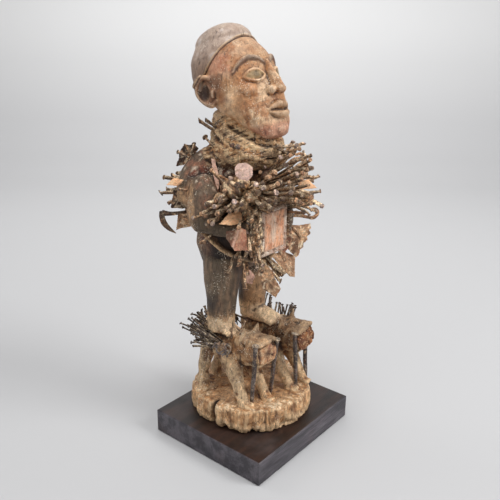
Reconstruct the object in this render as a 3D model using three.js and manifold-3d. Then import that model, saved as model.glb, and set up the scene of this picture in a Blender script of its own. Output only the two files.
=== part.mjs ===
// Standing nail figure on two dogs: one block of wood carved as a man, two dogs and a round base,
// set with forged irons and a belly box, on a rectangular display plinth. Millimetres, +Z up.
// The man looks along -Y, and his right hand is on the -X side.
import * as THREE from "three";
import { mergeVertices } from "three/addons/utils/BufferGeometryUtils.js";
import Module from "manifold-3d";

const wasm = await Module();
wasm.setup();

// Driving dimensions
const plinthWidth = 300;
const plinthDepth = 270;
const plinthHeight = 50;
const plinthEdge = 1.5;
const figureHeight = 754; // underside of the carved base to the crown of the cap
const touchGap = 0.3; // between pieces that touch
const boxWidth = 73;
const boxHeight = 88;
const boxDepth = 42;
const boxCorner = 6;
const boxRim = 8; // width of the border round the belly panel
const panelThickness = 3;
const panelCorner = 2;
const nailRadius = 2.5;
const nailHeadRadius = 5;
const nailHeadHeight = 2.2;
const spikeRadius = 3.8; // the four long spikes at the dogs' mouths
const spikeHeadRadius = 7;
const hookRadius = 3.2;
const plateThickness = 2.6;
const driven = 14; // how deep an iron sits in the wood

// The carving is drawn for a figure 754 high and keeps its proportions at any height.
const share = figureHeight / 754;
const at = (x, y, z) => new THREE.Vector3(x, y, z).multiplyScalar(share);
const leftward = new THREE.Vector3(1, 0, 0);
const upward = new THREE.Vector3(0, 0, 1);

// Closed surfaces

// place(turn, run) gives the points: turn goes once round, and run goes from one pole to the other.
function closedSurface(around, along, place) {
  const geometry = new THREE.SphereGeometry(1, around, along);
  const position = geometry.getAttribute("position");
  const uv = geometry.getAttribute("uv");
  for (let i = 0; i < position.count; i++) {
    const run = 1 - uv.getY(i);
    const pole = run < 1e-6 || run > 1 - 1e-6;
    const point = place(pole ? 0 : uv.getX(i), run);
    position.setXYZ(i, point.x, point.y, point.z);
  }
  return geometry;
}

// A row of stations [x, y, z, wide, front, back] as a smooth limb with rounded ends.
// Level limbs keep their sections horizontal; others turn them across the path, with side as their width.
function limb(stations, options = {}) {
  const { around = 12, along = 8, caps = [8, 8], level = false, side = leftward, grow = 0 } = options;
  const { boxy = 1, blunt = 1 } = options; // below 1: squarer sections, and flatter ends
  const swell = (value) => Math.sign(value) * Math.abs(value) ** boxy;
  const path = new THREE.CatmullRomCurve3(stations.map(([x, y, z]) => at(x, y, z)));
  const girth = new THREE.CatmullRomCurve3(
    stations.map(([, , , wide, front, back = front]) => at(wide + grow, front + grow, back + grow)),
  );
  const capShare = 1.5 / along;
  return closedSurface(around, along, (turn, run) => {
    const end = run < capShare ? 0 : 1;
    const rise = Math.min(run, 1 - run, capShare) / capShare;
    const t = THREE.MathUtils.clamp((run - capShare) / (1 - 2 * capShare), 0, 1);
    const tangent = level ? upward : path.getTangent(t);
    const across = level
      ? leftward
      : side.clone().addScaledVector(tangent, -side.dot(tangent)).normalize();
    const ahead = across.clone().cross(tangent);
    const size = girth.getPoint(t);
    const angle = turn * Math.PI * 2;
    const shrink = Math.sin((rise * Math.PI) / 2) ** blunt;
    const bulge = Math.max(0, Math.cos((rise * Math.PI) / 2)) ** blunt;
    const push = bulge * (caps[end] + grow) * share * (end ? 1 : -1);
    const deep = Math.sin(angle) > 0 ? size.y : size.z;
    return path
      .getPoint(t)
      .addScaledVector(tangent, push)
      .addScaledVector(across, size.x * swell(Math.cos(angle)) * shrink)
      .addScaledVector(ahead, deep * swell(Math.sin(angle)) * shrink);
  });
}

// Solids

function solid(geometry) {
  const bare = new THREE.BufferGeometry().setAttribute("position", geometry.getAttribute("position"));
  bare.setIndex(geometry.getIndex());
  const merged = mergeVertices(bare, 1e-3);
  return new wasm.Manifold(
    new wasm.Mesh({
      numProp: 3,
      vertProperties: merged.getAttribute("position").array,
      triVerts: new Uint32Array(merged.getIndex().array),
    }),
  );
}

const join = (geometries) => geometries.map(solid).reduce((whole, piece) => whole.add(piece));

function geometryOf(manifold) {
  const { vertProperties, triVerts } = manifold.getMesh();
  const geometry = new THREE.BufferGeometry();
  geometry.setAttribute("position", new THREE.BufferAttribute(vertProperties, 3));
  geometry.setIndex(new THREE.BufferAttribute(triVerts, 1));
  return geometry;
}

const mirrored = (stations) => stations.map(([x, ...rest]) => [-x, ...rest]);

// The man

const headCentre = at(0, 36, 652);
const headTilt = THREE.MathUtils.degToRad(-15); // chin up

const headStations = [
  [0, -52, -100, 31, 19, 20],
  [0, -40, -80, 49, 34, 38],
  [0, -20, -48, 63, 51, 55],
  [0, 2, -14, 69, 70, 68],
  [0, 10, 18, 70, 73, 78],
  [0, 14, 50, 62, 62, 76],
  [0, 20, 78, 45, 44, 58],
];
const headCaps = [9, 28];

function skullCap() {
  const shell = solid(limb(headStations, { around: 14, along: 11, caps: headCaps, level: true, grow: 3 }));
  const side = 400 * share;
  const above = new THREE.BoxGeometry(side, side, side);
  above.translate(0, 0, side / 2);
  above.rotateX(Math.atan(-0.78)); // the rim runs from the hairline down to the nape
  const rimFront = at(0, -52, 76);
  above.translate(rimFront.x, rimFront.y, rimFront.z);
  return shell.intersect(solid(above));
}

function faceSide(flip) {
  const way = flip ? mirrored : (stations) => stations;
  const brow = [
    [10, -64, 20, 3.4, 4.6],
    [31, -59, 29, 3.4, 5],
    [53, -41, 21, 2.4, 3.6],
  ];
  const eye = [
    [14, -61, 2, 4, 3],
    [29, -57, 4, 7, 6.5],
    [46, -46, 1, 4, 3],
  ];
  const wing = [
    [7, -74, -27, 6, 6],
    [14, -67, -28, 7, 7],
  ];
  const helix = [
    [61, 10, 4, 5, 5],
    [71, 17, 13, 4.5, 4.5],
    [77, 33, 6, 4.5, 4.5],
    [75, 35, -17, 4.5, 4.5],
    [66, 20, -33, 6, 6],
    [60, 12, -28, 5, 5],
  ];
  const concha = [
    [56, 18, -10, 15, 12],
    [68, 25, -10, 16, 11],
  ];
  return [
    limb(way(brow), { around: 5, along: 6, caps: [3, 3], side: upward }),
    limb(way(eye), { around: 6, along: 4, caps: [3, 3], side: upward }),
    limb(way(wing), { around: 5, along: 3, caps: [5, 6] }),
    limb(way(helix), { around: 4, along: 8, caps: [4, 4], side: upward }),
    limb(way(concha), { around: 5, along: 3, caps: [4, 2], side: upward }),
  ];
}

function head() {
  const nose = [
    [0, -60, 22, 6, 8],
    [0, -68, -2, 7, 12],
    [0, -74, -24, 9, 13],
  ];
  const lip = (z, round) => [
    [-25, -62, z - 2, 2.5, 4],
    [-9, -73, z, 5.5, round],
    [9, -73, z, 5.5, round],
    [25, -62, z - 2, 2.5, 4],
  ];
  const face = join([
    limb(headStations, { around: 14, along: 11, caps: headCaps, level: true }),
    limb(nose, { around: 6, along: 5, caps: [4, 7] }),
    limb(lip(-54, 8), { around: 5, along: 7, caps: [3, 3], side: upward }),
    limb(lip(-66, 8.5), { around: 5, along: 7, caps: [3, 3], side: upward }),
    ...faceSide(false),
    ...faceSide(true),
  ]).add(skullCap());
  const placed = geometryOf(face);
  placed.rotateX(headTilt);
  placed.translate(headCentre.x, headCentre.y, headCentre.z);
  return placed;
}

function trunk() {
  const torso = [
    [0, 50, 312, 68, 50, 70],
    [0, 48, 350, 78, 66, 86],
    [0, 42, 388, 74, 68, 80],
    [0, 32, 430, 66, 74, 72],
    [0, 38, 468, 68, 70, 70],
    [0, 46, 500, 64, 58, 58],
    [0, 38, 535, 46, 46, 46],
  ];
  const collar = [
    [0, 30, 506, 56, 56, 56],
    [0, 26, 532, 67, 68, 65],
    [0, 26, 562, 63, 63, 65],
    [0, 34, 598, 50, 46, 56],
  ];
  const sash = [
    [-73, 78, 386, 5, 7],
    [-78, 44, 370, 5, 7],
    [-69, 14, 349, 5, 7],
    [-36, -10, 332, 5, 7],
    [0, -18, 324, 5, 7],
    [36, -10, 332, 5, 7],
    [69, 14, 349, 5, 7],
    [78, 44, 370, 5, 7],
    [73, 78, 386, 5, 7],
  ];
  return [
    limb(torso, { around: 15, along: 9, caps: [14, 10], level: true }),
    limb(collar, { around: 14, along: 5, caps: [4, 10], level: true }),
    limb(sash, { around: 4, along: 14, caps: [3, 3], side: upward }),
  ];
}

function arm(flip) {
  const way = flip ? mirrored : (stations) => stations;
  const shoulder = [
    [-26, 64, 500, 32, 34],
    [-56, 72, 488, 36, 36],
    [-74, 66, 472, 30, 30],
  ];
  const upper = [
    [-82, 58, 478, 25, 27],
    [-90, 48, 442, 28, 29],
    [-94, 40, 410, 26, 27],
  ];
  const fore = [
    [-94, 40, 406, 25, 25],
    [-90, 8, 396, 21, 22],
    [-72, -18, 394, 16, 18],
  ];
  const palm = [
    [-74, -18, 394, 18, 10],
    [-56, -36, 396, 19, 9],
  ];
  const fingers = [-14, -5, 4, 13].map((lift) =>
    limb(
      way([
        [-60, -34, 395 + lift, 4.4, 5],
        [-42, -46, 396 + lift * 1.1, 3.8, 4.6],
      ]),
      { around: 4, along: 3, caps: [3, 4], side: upward },
    ),
  );
  return [
    limb(way(shoulder), { around: 9, along: 5, caps: [8, 18] }),
    limb(way(upper), { around: 9, along: 5, caps: [12, 16], side: new THREE.Vector3(0, 1, 0) }),
    limb(way(fore), { around: 8, along: 5, caps: [10, 8], side: upward }),
    limb(way(palm), { around: 6, along: 4, caps: [6, 6], side: upward }),
    ...fingers,
  ];
}

// One leg with its foot; reach moves the foot forward.
function leg(x, reach) {
  const shaft = [
    [x, 46, 178, 25, 26],
    [x, 46, 212, 27, 29],
    [x, 44, 244, 29, 31],
    [x * 0.96, 43, 286, 36, 34, 39],
    [x * 0.78, 45, 330, 40, 39, 46],
  ];
  const foot = [
    [x, 70 - reach * 0.5, 182, 21, 14],
    [x, 38 - reach * 0.6, 185, 22, 17],
    [x * 1.02, 20 - reach, 180, 24, 11],
  ];
  const toes = [-16, -8, 0, 8, 16].map((step) =>
    limb(
      [
        [x + step * 0.9, 26 - reach, 181, 4.6, 7],
        [x + step * 1.1, 8 - reach + Math.abs(step) * 0.3, 178, 4.2, 6],
      ],
      { around: 4, along: 3, caps: [2, 4] },
    ),
  );
  return [
    limb(shaft, { around: 11, along: 6, caps: [4, 10], level: true }),
    limb(foot, { around: 8, along: 5, caps: [10, 6] }),
    ...toes,
  ];
}

// The two dogs. Their heads are blocks with the jaws wide open on a packed mouth, and their legs are
// given by [hip, hoof] places beside the dog's own middle. roll tips the far side of the muzzle up.
const dogs = [
  { x: -38, y: 0, roll: 0, front: [[-42, -37], [6, -54]], hind: [[-42, 70], [14, 84]] },
  { x: 64, y: -19, roll: 12, front: [[-34, -48], [9, -50]], hind: [[-24, 84], [28, 84]] },
];
const muzzleFront = -62; // from the dog's middle
const mouthDepth = 30;

function dogPart({ x, y, roll }, stations, options) {
  const shifted = stations.map(([px, py, pz, ...rest]) => [px + x, py + y, pz, ...rest]);
  const geometry = limb(shifted, options);
  if (!options.rolled) return geometry;
  const middle = at(x, y, 152);
  geometry.translate(-middle.x, -middle.y, -middle.z);
  geometry.rotateY(THREE.MathUtils.degToRad(-roll));
  return geometry.translate(middle.x, middle.y, middle.z);
}

function dog(one) {
  const part = (stations, options) => dogPart(one, stations, options);
  const body = [
    [0, 88, 150, 24, 20, 20],
    [0, 60, 147, 34, 26, 26],
    [0, 25, 140, 38, 34, 36],
    [0, -8, 138, 30, 34, 36],
  ];
  const skull = [
    [0, 4, 146, 27, 30, 32],
    [0, -26, 150, 29, 30, 32],
    [0, -46, 155, 28, 26, 25],
    [0, muzzleFront + 3, 157, 28, 24, 23],
  ];
  const sides = [-1, 1].flatMap((way, i) => {
    const ear = [
      [way * 19, -17, 172, 8, 5],
      [way * 21, -21, 192, 3, 2.5],
    ];
    const [frontX, frontY] = one.front[i];
    const front = [
      [way * 21, 12, 130, 18, 20],
      [(way * 24 + frontX) / 2, (frontY + 8) / 2, 92, 14, 15],
      [frontX, frontY, 58, 12, 12],
      [frontX, frontY - 5, 46, 14, 14],
    ];
    const [hindX, hindY] = one.hind[i];
    const hind = [
      [way * 20, 70, 142, 16, 18],
      [(way * 26 + hindX) / 2, (hindY + 74) / 2, 96, 13, 14],
      [hindX, hindY, 62, 12, 12],
      [hindX, hindY - 3, 46, 13, 14],
    ];
    return [
      part(ear, { around: 4, along: 3, caps: [2, 3], rolled: true }),
      part(front, { around: 7, along: 4, caps: [6, 4] }),
      part(hind, { around: 6, along: 4, caps: [6, 4] }),
    ];
  });
  return [
    part(body, { around: 10, along: 5, caps: [16, 12] }),
    part(skull, { around: 12, along: 6, caps: [8, 3], boxy: 0.5, blunt: 0.2, rolled: true }),
    ...sides,
  ];
}

// What fills a dog's open mouth; spare widens it for the hollow that holds it.
function mouthPacking(one, spare = 0) {
  const packing = [
    [0, muzzleFront + mouthDepth, 148, 22, 14, 16],
    [0, muzzleFront - 2, 151, 22.5, 12, 19],
  ];
  return dogPart(one, packing, {
    around: 10,
    along: 4,
    caps: [2, 3],
    boxy: 0.6,
    blunt: 0.3,
    rolled: true,
    grow: spare / share,
  });
}

// The round base: a slice of trunk with a rough rim, a lip at the top and one drying crack.
const baseRadius = 123 * share;
const baseHeight = 49 * share;
const baseCentre = at(3, 10, 0);
const crackAngle = Math.PI;
const crackWidth = 0.08; // radians
const crackDepth = 16 * share;

function roundBase() {
  const rings = [
    [0, 0],
    [0.96, 0],
    [1, 0.28],
    [0.985, 0.7],
    [0.975, 0.96],
    [0.93, 1],
    [0, 0.985],
  ];
  return closedSurface(32, rings.length - 1, (turn, run) => {
    const [reach, height] = rings[Math.round(run * (rings.length - 1))];
    const angle = turn * Math.PI * 2;
    const rough = 0.01 * Math.sin(5 * angle + 1) + 0.012 * Math.sin(13 * angle);
    const crack = crackDepth * Math.exp(-(((angle - crackAngle) / crackWidth) ** 2));
    const radius = baseRadius * reach * (1 + rough) - crack;
    return new THREE.Vector3(
      baseCentre.x + radius * Math.cos(angle),
      baseCentre.y - radius * Math.sin(angle),
      baseHeight * height,
    );
  });
}

const legX = [-50, 46];
const footReach = [-2, 30];

const carving = join([
  head(),
  ...trunk(),
  ...arm(false),
  ...arm(true),
  ...leg(legX[0], footReach[0]),
  ...leg(legX[1], footReach[1]),
  ...dogs.flatMap(dog),
  roundBase(),
]);

// Irons

// A frame at a point with its own +Z along a direction. At roll 0 its +X is level, at 90 it points down.
function standing(point, direction, roll = 0) {
  const out = direction.clone().normalize();
  const across = new THREE.Vector3().crossVectors(out, upward).normalize();
  across.applyAxisAngle(out, THREE.MathUtils.degToRad(roll));
  const lift = new THREE.Vector3().crossVectors(out, across);
  return new THREE.Matrix4().makeBasis(across, lift, out).setPosition(point);
}

// Direction from an azimuth (0 ahead, 90 to the man's left) and an elevation, in degrees.
function heading(azimuth, elevation) {
  const [a, e] = [azimuth, elevation].map(THREE.MathUtils.degToRad);
  return new THREE.Vector3(Math.sin(a) * Math.cos(e), -Math.cos(a) * Math.cos(e), Math.sin(e));
}

// Where a line from core along a direction last leaves the wood within reach, as a distance.
const woodMesh = new THREE.Mesh(geometryOf(carving), new THREE.MeshBasicMaterial({ side: THREE.DoubleSide }));
const caster = new THREE.Raycaster();
function surfaceDistance(core, direction, reach) {
  caster.set(core, direction);
  caster.far = reach * share;
  const hits = caster.intersectObject(woodMesh);
  return hits[hits.length - 1].distance;
}

// A forged nail, square all the way: shank and low head. spare widens it for its hole.
function nailGeometry(length, radius, headRadius, spare = 0) {
  const r = radius + spare;
  const profile = [
    [0, -spare],
    [r * 0.8, -spare],
    [r, length - nailHeadHeight - spare],
    [headRadius + spare, length - nailHeadHeight - spare],
    [(headRadius + spare) * 0.9, length - nailHeadHeight * 0.3 + spare],
    [0, length + spare],
  ].map(([x, y]) => new THREE.Vector2(x, y));
  return new THREE.LatheGeometry(profile, 4).rotateX(Math.PI / 2);
}

// A flat iron plate: outline points [across, out].
function plateGeometry(outline, spare = 0) {
  const shape = new THREE.Shape(outline.map(([x, y]) => new THREE.Vector2(x, y)));
  const depth = plateThickness + 2 * spare;
  const flat = new THREE.ExtrudeGeometry(shape, {
    depth: depth - spare,
    bevelEnabled: spare > 0,
    bevelThickness: spare / 2,
    bevelSize: spare,
    bevelSegments: 1,
  });
  return flat.translate(0, 0, -(depth - spare) / 2).rotateX(Math.PI / 2);
}

// A bent iron rod through points [across, out], in one plane.
function hookGeometry(points, spare = 0) {
  const path = new THREE.CatmullRomCurve3(points.map(([x, z]) => new THREE.Vector3(x, 0, z)));
  const r = hookRadius + spare;
  const section = new THREE.Shape([
    new THREE.Vector2(-r, -r * 0.7),
    new THREE.Vector2(r, -r * 0.7),
    new THREE.Vector2(r, r * 0.7),
    new THREE.Vector2(-r, r * 0.7),
  ]);
  return new THREE.ExtrudeGeometry(section, { steps: 9, bevelEnabled: false, extrudePath: path });
}

const irons = []; // { name, make(spare), frame }

// Sets an iron in the wood on a line from core. reach is where its outer end comes, measured from core,
// and make(length, spare) gives the iron with that whole length.
function drive(name, core, azimuth, elevation, roll, reach, make) {
  const direction = heading(azimuth, elevation);
  const inner = surfaceDistance(core, direction, reach) - driven;
  const foot = core.clone().addScaledVector(direction, inner);
  const frame = standing(foot, direction, roll);
  irons.push({ name, frame, make: (spare) => make(reach * share - inner, spare) });
}

// Fans of nails round the chest, belly and back, all pointing away from one place in the chest
const chestCore = at(0, 30, 420);
const fans = [
  { name: "throat_nail", elevation: 50, reach: 150, azimuths: [-8, 47, 68] },
  { name: "chest_nail", elevation: 33, reach: 148, azimuths: [-76, -36, 0, 56, 80] },
  { name: "breast_nail", elevation: 17, reach: 142, azimuths: [-84, -56, -26, 10, 68] },
  { name: "side_nail", elevation: 1, reach: 140, azimuths: [-88, -54, 76] },
  { name: "flank_nail", elevation: -18, reach: 134, azimuths: [-84, 82] },
  { name: "lap_nail", elevation: -52, reach: 144, azimuths: [-72, 74, 55] },
  { name: "back_nail", elevation: 14, reach: 132, azimuths: [-150, 176, 142] },
  { name: "loin_nail", elevation: -12, reach: 126, azimuths: [-164, 158] },
];
const plainNail = (length, spare) => nailGeometry(length, nailRadius, nailHeadRadius, spare);
for (const { name, elevation, reach, azimuths } of fans) {
  azimuths.forEach((azimuth, i) => {
    const uneven = Math.sin(i * 2.4 + elevation);
    const ownReach = reach * (1 + 0.05 * uneven);
    drive(`${name}_${i + 1}`, chestCore, azimuth, elevation + 4 * uneven, 0, ownReach, plainNail);
  });
}

// Nails along the dogs' backs, behind the feet
dogs.forEach(({ x, y }, n) => {
  [-22, 0, 22].forEach((step, i) => {
    const core = at(x + step * 0.4, y + 66, 150);
    drive(`dog_${n + 1}_nail_${i + 1}`, core, 180 - step * 2.4, 30 + i * 5, 0, 62, plainNail);
  });
});

// The long spikes at the corners of the dogs' mouths, driven down into the base
const spikes = [
  { foot: [-63, -46], head: [-67, -57, 180] },
  { foot: [-14, -53], head: [-9, -64, 174] },
  { foot: [42, -77], head: [34, -75, 174] },
  { foot: [81, -73], head: [87, -65, 141] },
];
spikes.forEach(({ foot, head }, n) => {
  const top = at(...head);
  const onBase = at(...foot, 49);
  const direction = top.clone().sub(onBase).normalize();
  const tip = onBase.clone().addScaledVector(direction, -driven);
  const length = top.distanceTo(tip);
  irons.push({
    name: `mouth_spike_${n + 1}`,
    frame: standing(tip, direction),
    make: (spare) => nailGeometry(length, spikeRadius, spikeHeadRadius, spare),
  });
});

// Blades and plates. Each widens from root to tip, and skew slides the tip to one side.
const plates = [
  { name: "nape_plate", azimuth: -146, elevation: 46, roll: 70, reach: 158, root: 20, tip: 28, skew: 4 },
  { name: "shoulder_plate", azimuth: -132, elevation: 26, roll: 20, reach: 152, root: 14, tip: 5, skew: 3 },
  { name: "back_plate", azimuth: -132, elevation: 4, roll: 80, reach: 142, root: 32, tip: 34, skew: 2 },
  { name: "hip_plate", azimuth: -130, elevation: -16, roll: 75, reach: 134, root: 18, tip: 26, skew: -4 },
  { name: "leaf_blade", azimuth: -60, elevation: 46, roll: 85, reach: 112, root: 34, tip: 8, skew: 2 },
  { name: "pointed_plate", azimuth: 44, elevation: 17, roll: 20, reach: 156, root: 18, tip: 4, skew: -5 },
  { name: "tan_plate", azimuth: -66, elevation: -2, roll: 30, reach: 122, root: 26, tip: 10, skew: 4 },
  { name: "rolled_sheet", azimuth: -50, elevation: -26, roll: 60, reach: 112, root: 36, tip: 32, skew: 4 },
  { name: "saw_plate", azimuth: 54, elevation: -20, roll: 75, reach: 144, root: 30, tip: 44, skew: 4 },
  { name: "corner_blade", azimuth: 55, elevation: -42, roll: 60, reach: 162, root: 12, tip: 34, skew: 8 },
  { name: "lower_blade", azimuth: 4, elevation: -70, roll: 20, reach: 172, root: 16, tip: 26, skew: 5 },
  { name: "small_plate", azimuth: -46, elevation: -65, roll: 0, reach: 132, root: 12, tip: 24, skew: 0 },
];
for (const { name, azimuth, elevation, roll, reach, root, tip, skew } of plates) {
  drive(name, chestCore, azimuth, elevation, roll, reach, (length, spare) => {
    const outline = [
      [-root / 2, 0],
      [root / 2, 0],
      [tip / 2 + skew, length],
      [-tip / 2 + skew, length - 1.5 * Math.abs(skew)],
    ];
    return plateGeometry(outline, spare);
  });
}

// A flat hook like a sickle behind the right arm, drawn from its outer end back to the wood
drive("sickle_hook", chestCore, -130, -4, 90, 163, (length, spare) =>
  plateGeometry(
    [
      [-3.5, 0],
      [3.5, 0],
      [4, length - 20],
      [8, length - 12],
      [18, length - 13],
      [30, length - 26],
      [38, length - 30],
      [30, length - 14],
      [14, length - 1],
      [0, length],
      [-10, length - 2],
      [-3, length - 16],
    ],
    spare,
  ),
);

const rods = [
  { name: "chest_hook", azimuth: 36, elevation: 44, roll: -90, reach: 146, bend: 12 },
  { name: "side_hook", azimuth: 62, elevation: 6, roll: 90, reach: 150, bend: 10 },
];
for (const { name, azimuth, elevation, roll, reach, bend } of rods) {
  drive(name, chestCore, azimuth, elevation, roll, reach, (length, spare) =>
    hookGeometry(
      [
        [0, 0],
        [0, length - bend * 1.6],
        [bend * 0.3, length - bend * 0.4],
        [bend, length],
        [bend * 1.7, length - bend * 0.4],
        [bend * 1.9, length - bend],
      ],
      spare,
    ),
  );
}

// The belly box, half sunk in the wood, with a panel let into its front
const boxCentre = at(1, 0, 386);
const boxFront = -46 * share;
const wayIn = 10; // how far a cutter runs out past the front

function blockGeometry(width, height, depth, corner) {
  const w = width / 2 - corner;
  const h = height / 2 - corner;
  const shape = new THREE.Shape();
  shape.absarc(w, h, corner, 0, Math.PI / 2);
  shape.absarc(-w, h, corner, Math.PI / 2, Math.PI);
  shape.absarc(-w, -h, corner, Math.PI, Math.PI * 1.5);
  shape.absarc(w, -h, corner, Math.PI * 1.5, Math.PI * 2);
  // the block's front faces -Y and its depth runs back along +Y
  return new THREE.ExtrudeGeometry(shape, { depth, bevelEnabled: false, curveSegments: 3 })
    .rotateX(Math.PI / 2)
    .translate(0, depth, 0);
}

const inFront = (geometry, ahead = 0) => geometry.translate(boxCentre.x, boxFront - ahead, boxCentre.z);
const panelWidth = boxWidth - 2 * boxRim;
const panelHeight = boxHeight - 2 * boxRim;
const panelSink = 0.8; // the panel's face behind the rim
const boxSolid = solid(inFront(blockGeometry(boxWidth, boxHeight, boxDepth, boxCorner)));
const recess = solid(
  inFront(
    blockGeometry(
      panelWidth + 2 * touchGap,
      panelHeight + 2 * touchGap,
      panelSink + panelThickness + touchGap + wayIn,
      panelCorner,
    ),
    wayIn,
  ),
);
const boxSocket = solid(
  inFront(
    blockGeometry(
      boxWidth + 2 * touchGap,
      boxHeight + 2 * touchGap,
      boxDepth + touchGap + wayIn,
      boxCorner,
    ),
    wayIn,
  ),
);
const panelSolid = solid(
  inFront(blockGeometry(panelWidth, panelHeight, panelThickness, panelCorner), -panelSink),
);

// The wood with a hole for every iron, a socket for the box and hollows for the mouths' filling
const holes = irons.map(({ frame, make }) => solid(make(touchGap).applyMatrix4(frame)));
const mouths = dogs.map((one) => solid(mouthPacking(one, touchGap)));
const wood = [boxSocket, ...mouths, ...holes].reduce((whole, hole) => whole.subtract(hole), carving);

// The box, its panel and the fillings, cut by any iron that passes through them
const clearOfIrons = (piece) => holes.reduce((whole, hole) => whole.subtract(hole), piece);
const box = clearOfIrons(boxSolid.subtract(recess));
const panel = clearOfIrons(panelSolid);
const packings = dogs.map((one) => clearOfIrons(solid(mouthPacking(one))));

// Finishes
const finish = (color, roughness, metalness) =>
  new THREE.MeshStandardMaterial({ color, roughness, metalness });
const carvedWood = finish(0x8a6a48, 0.8, 0);
const darkWood = finish(0x33262a, 0.5, 0);
const iron = finish(0x4a4038, 0.75, 0.5);
const resin = finish(0x9b8068, 0.85, 0);
const redPanel = finish(0xb4603c, 0.6, 0);

// The whole object
const object = new THREE.Group();
const figure = new THREE.Group();
figure.position.z = plinthHeight + touchGap;
object.add(figure);

function addPiece(group, name, geometry, material) {
  const mesh = new THREE.Mesh(geometry, material);
  mesh.name = name;
  group.add(mesh);
  return mesh;
}

const plinthShape = new THREE.Shape([
  new THREE.Vector2(-plinthWidth / 2 + plinthEdge, -plinthDepth / 2 + plinthEdge),
  new THREE.Vector2(plinthWidth / 2 - plinthEdge, -plinthDepth / 2 + plinthEdge),
  new THREE.Vector2(plinthWidth / 2 - plinthEdge, plinthDepth / 2 - plinthEdge),
  new THREE.Vector2(-plinthWidth / 2 + plinthEdge, plinthDepth / 2 - plinthEdge),
]);
const plinth = new THREE.ExtrudeGeometry(plinthShape, {
  depth: plinthHeight - 2 * plinthEdge,
  bevelThickness: plinthEdge,
  bevelSize: plinthEdge,
  bevelSegments: 1,
}).translate(0, 0, plinthEdge);

addPiece(object, "display_plinth", plinth, darkWood);
addPiece(figure, "carved_figure", geometryOf(wood), carvedWood);
addPiece(figure, "belly_box", geometryOf(box), resin);
addPiece(figure, "belly_panel", geometryOf(panel), redPanel);
packings.forEach((packing, n) => {
  addPiece(figure, `dog_${n + 1}_mouth_resin`, geometryOf(packing), redPanel);
});
for (const { name, frame, make } of irons) {
  const mesh = addPiece(figure, name, make(0), iron);
  mesh.applyMatrix4(frame);
}

export default object;
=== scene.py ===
import bpy
import numpy as np
from mathutils import Matrix, Vector
from mathutils.bvhtree import BVHTree


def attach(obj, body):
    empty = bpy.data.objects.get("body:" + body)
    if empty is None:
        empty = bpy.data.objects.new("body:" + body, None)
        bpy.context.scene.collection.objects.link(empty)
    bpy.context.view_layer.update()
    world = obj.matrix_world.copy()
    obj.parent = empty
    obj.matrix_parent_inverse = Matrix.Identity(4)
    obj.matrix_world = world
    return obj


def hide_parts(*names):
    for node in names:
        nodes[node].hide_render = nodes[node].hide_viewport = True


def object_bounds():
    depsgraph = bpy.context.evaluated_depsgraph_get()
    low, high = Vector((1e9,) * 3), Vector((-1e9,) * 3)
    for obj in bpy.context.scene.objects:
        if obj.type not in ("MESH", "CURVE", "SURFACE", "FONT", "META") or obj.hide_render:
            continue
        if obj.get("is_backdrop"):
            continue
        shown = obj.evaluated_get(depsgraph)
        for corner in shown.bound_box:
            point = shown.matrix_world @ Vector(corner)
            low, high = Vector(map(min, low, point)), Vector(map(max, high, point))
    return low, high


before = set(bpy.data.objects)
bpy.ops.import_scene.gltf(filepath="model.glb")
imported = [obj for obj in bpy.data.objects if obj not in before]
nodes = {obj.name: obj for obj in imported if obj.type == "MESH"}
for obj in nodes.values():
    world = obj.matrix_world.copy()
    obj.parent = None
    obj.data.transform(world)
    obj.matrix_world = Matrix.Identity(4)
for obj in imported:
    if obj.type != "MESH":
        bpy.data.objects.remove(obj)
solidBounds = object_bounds()
baseLift = 50.3  # the carving's underside above the plinth's, in millimetres

# Camera, floor and light

camera = {
    "place": (-0.9040, -0.7277, 0.7904),
    "ahead": (0.7305, 0.6000, -0.3262),
    "right": (0.6347, -0.7728, 0.0),
    "roll": 0.0108,
    "lens": 45.64,
    "sensor": 36,
    "pixels": 500,
}


def unit(v):
    return v / np.linalg.norm(v, axis=-1, keepdims=True)


def addObject(name, data):
    made = bpy.data.objects.new(name, data)
    bpy.context.scene.collection.objects.link(made)
    return made


# The camera's own right, up and ahead, with the roll turned into right and up
def cameraAxes():
    ahead, right = unit(camera["ahead"]), unit(camera["right"])
    up = np.cross(right, ahead)
    c, s = np.cos(camera["roll"]), np.sin(camera["roll"])
    return right * c + up * s, up * c - right * s, ahead


def addCamera():
    right, up, ahead = cameraAxes()
    view = bpy.data.cameras.new("view")
    view.sensor_width = camera["sensor"]
    view.lens = camera["lens"]
    view.clip_start = 0.05
    view.clip_end = 50
    eye = addObject("view", view)
    rows = np.column_stack([right, up, -ahead, camera["place"]])
    eye.matrix_world = Matrix([*rows.tolist(), [0, 0, 0, 1]])
    bpy.context.scene.camera = eye


# sRGB from 0 to 255 as a linear colour
def colour(r, g, b):
    c = np.array([r, g, b]) / 255
    return np.where(c <= 0.04045, c / 12.92, ((c + 0.055) / 1.055) ** 2.4)


look = {}  # the material in hand: its node tree, its shader, and the colour laid so far


def newLook(name):
    made = bpy.data.materials.new(name)
    made.use_nodes = True
    look.update(tree=made.node_tree, shader=made.node_tree.nodes["Principled BSDF"])
    return made


# The same, starting from the piece's own tint. Its alpha says how the surface is finished.
def newTintedLook(name):
    made = newLook(name)
    tint = look["tree"].nodes.new("ShaderNodeAttribute")
    tint.attribute_name = "tint"
    look["base"] = tint.outputs["Color"]
    return made, tint.outputs["Alpha"]


# Sets a socket to a number, a colour from 0 to 255 or another node's output
def feed(slot, value):
    if isinstance(value, bpy.types.NodeSocket):
        look["tree"].links.new(value, slot)
    else:
        slot.default_value = (*colour(*value), 1) if slot.type == "RGBA" else value


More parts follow.
